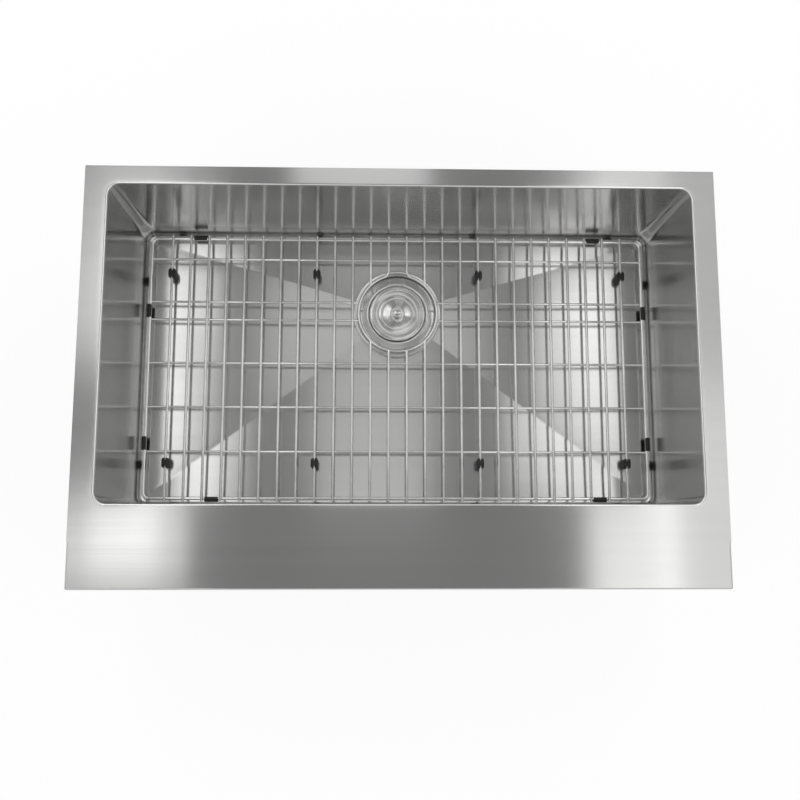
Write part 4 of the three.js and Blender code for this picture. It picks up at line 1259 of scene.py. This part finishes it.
def drill(radius, depth, place):
    """Drills one hole through the basket; the matrix puts the tool in its place."""
    bpy.ops.mesh.primitive_cylinder_add(vertices=HOLE_SIDES, radius=radius, depth=depth)
    tool = named("drill")
    tool.matrix_world = place
    cut_away(basket, settle(tool))


for row in (-6 * MM, 3 * MM):
    for index in range(WALL_HOLES):
        turn = Matrix.Rotation(2 * math.pi * index / WALL_HOLES, 4, "Z")
        drill(WALL_HOLE_RADIUS, 34 * MM, Matrix.Translation((0, DRAIN_Y, wall_middle + row))
              @ turn @ Matrix.Translation((24.5 * MM, 0, 0)) @ Matrix.Rotation(math.pi / 2, 4, "Y"))
for index in range(FLOOR_HOLES):
    turn = 2 * math.pi * index / FLOOR_HOLES
    x, y = HOLE_CIRCLE * math.cos(turn), DRAIN_Y + HOLE_CIRCLE * math.sin(turn)
    drill(FLOOR_HOLE_RADIUS, 4 * MM, Matrix.Translation((x, y, BASKET_FLOOR_Z + 0.45 * MM)))
fit_turned(basket, turned_steel, "basket", "basket_cup")

# %% [markdown]
# ## Knob and stopper
# The knob is turned in one piece with its post, which carries the rubber stopper under the
# basket. Its flat top has a fine bright edge and a small dimple in the middle.

# %% Turn the knob and the stopper
KNOB_FOOT = LID_HUB_Z + SEAT
KNOB_TOP = KNOB_FOOT + 9 * MM
KNOB_STEPS = 48
STOPPER_STEPS = 64
knob_outline = (profile(CUP_FLOOR_Z, (0, 0), (2.5, 0))
                + profile(STOPPER_TOP_Z + SEAT, (2.5, 0), (3, 0))
                + profile(KNOB_FOOT, (3, 0), (4.2, 0), (4.1, 1), (3.8, 4), (4.4, 5.4), (6.6, 6.1),
                          (7.2, 6.6))
                + profile(KNOB_TOP, (7.2, -1), (6.9, -0.35), (6, 0), (4.4, -0.1), (2.4, -0.7),
                          (0.8, -0.9), (0, -0.9)))
knob = turned("knob_with_post", knob_outline, KNOB_STEPS)
fit_turned(knob, turned_steel, "stopper", "basket_knob")
stopper_outline = (profile(CUP_FLOOR_Z, (2.8, -1.2), (17, -1.2), (22.5, 0), (22.5, 1.2))
                   + profile(STOPPER_TOP_Z, (16, 0), (2.8, 0)))
stopper = turned("rubber_stopper_disc", stopper_outline, STOPPER_STEPS)
round_edges(stopper, 0.3 * MM)
fit_turned(stopper, seal_rubber, "stopper", "basket_stopper")

# %% [markdown]
# ## Damping pads
# Dense rubber pads are glued to the outside of the bowl, so that running water does not ring.
# They are die-cut and rolled on. Each starts as a copy of its measured block, whose four short
# edges, those through its thickness, are rounded first and all the others broken after that.

# %% Cut the pads
PAD_CORNER = 12 * MM
PAD_THICK_LIMIT = 4 * MM
pad_look = matte("damping_pad", (0.055, 0.056, 0.058), 0.88, 0.2, 220.0, 0.6)
for node in sorted(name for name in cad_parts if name.startswith("sound_pad_")):
    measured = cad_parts[node]
    pad = copy_of(measured, node.replace("sound_pad", "damping_pad"))
    pad.parent = None
    pad.hide_render = False
    for key in [key for key in pad.keys() if key.startswith("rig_")]:
        del pad[key]
    start_edit(pad, "VERT")
    take_all()
    bpy.ops.mesh.remove_doubles(threshold=0.01 * MM)
    bpy.ops.mesh.dissolve_limited(angle_limit=math.radians(1))
    pick(pad, "EDGE", lambda edge: edge.calc_length() < PAD_THICK_LIMIT)
    bpy.ops.mesh.bevel(offset=PAD_CORNER, segments=8, affect="EDGES")
    end_edit()
    round_edges(pad, 0.6 * MM, 2, 50)
    soften(pad)
    dress(pad, pad_look)
    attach(pad, "sink")
    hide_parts(node)
report_piece(pad)
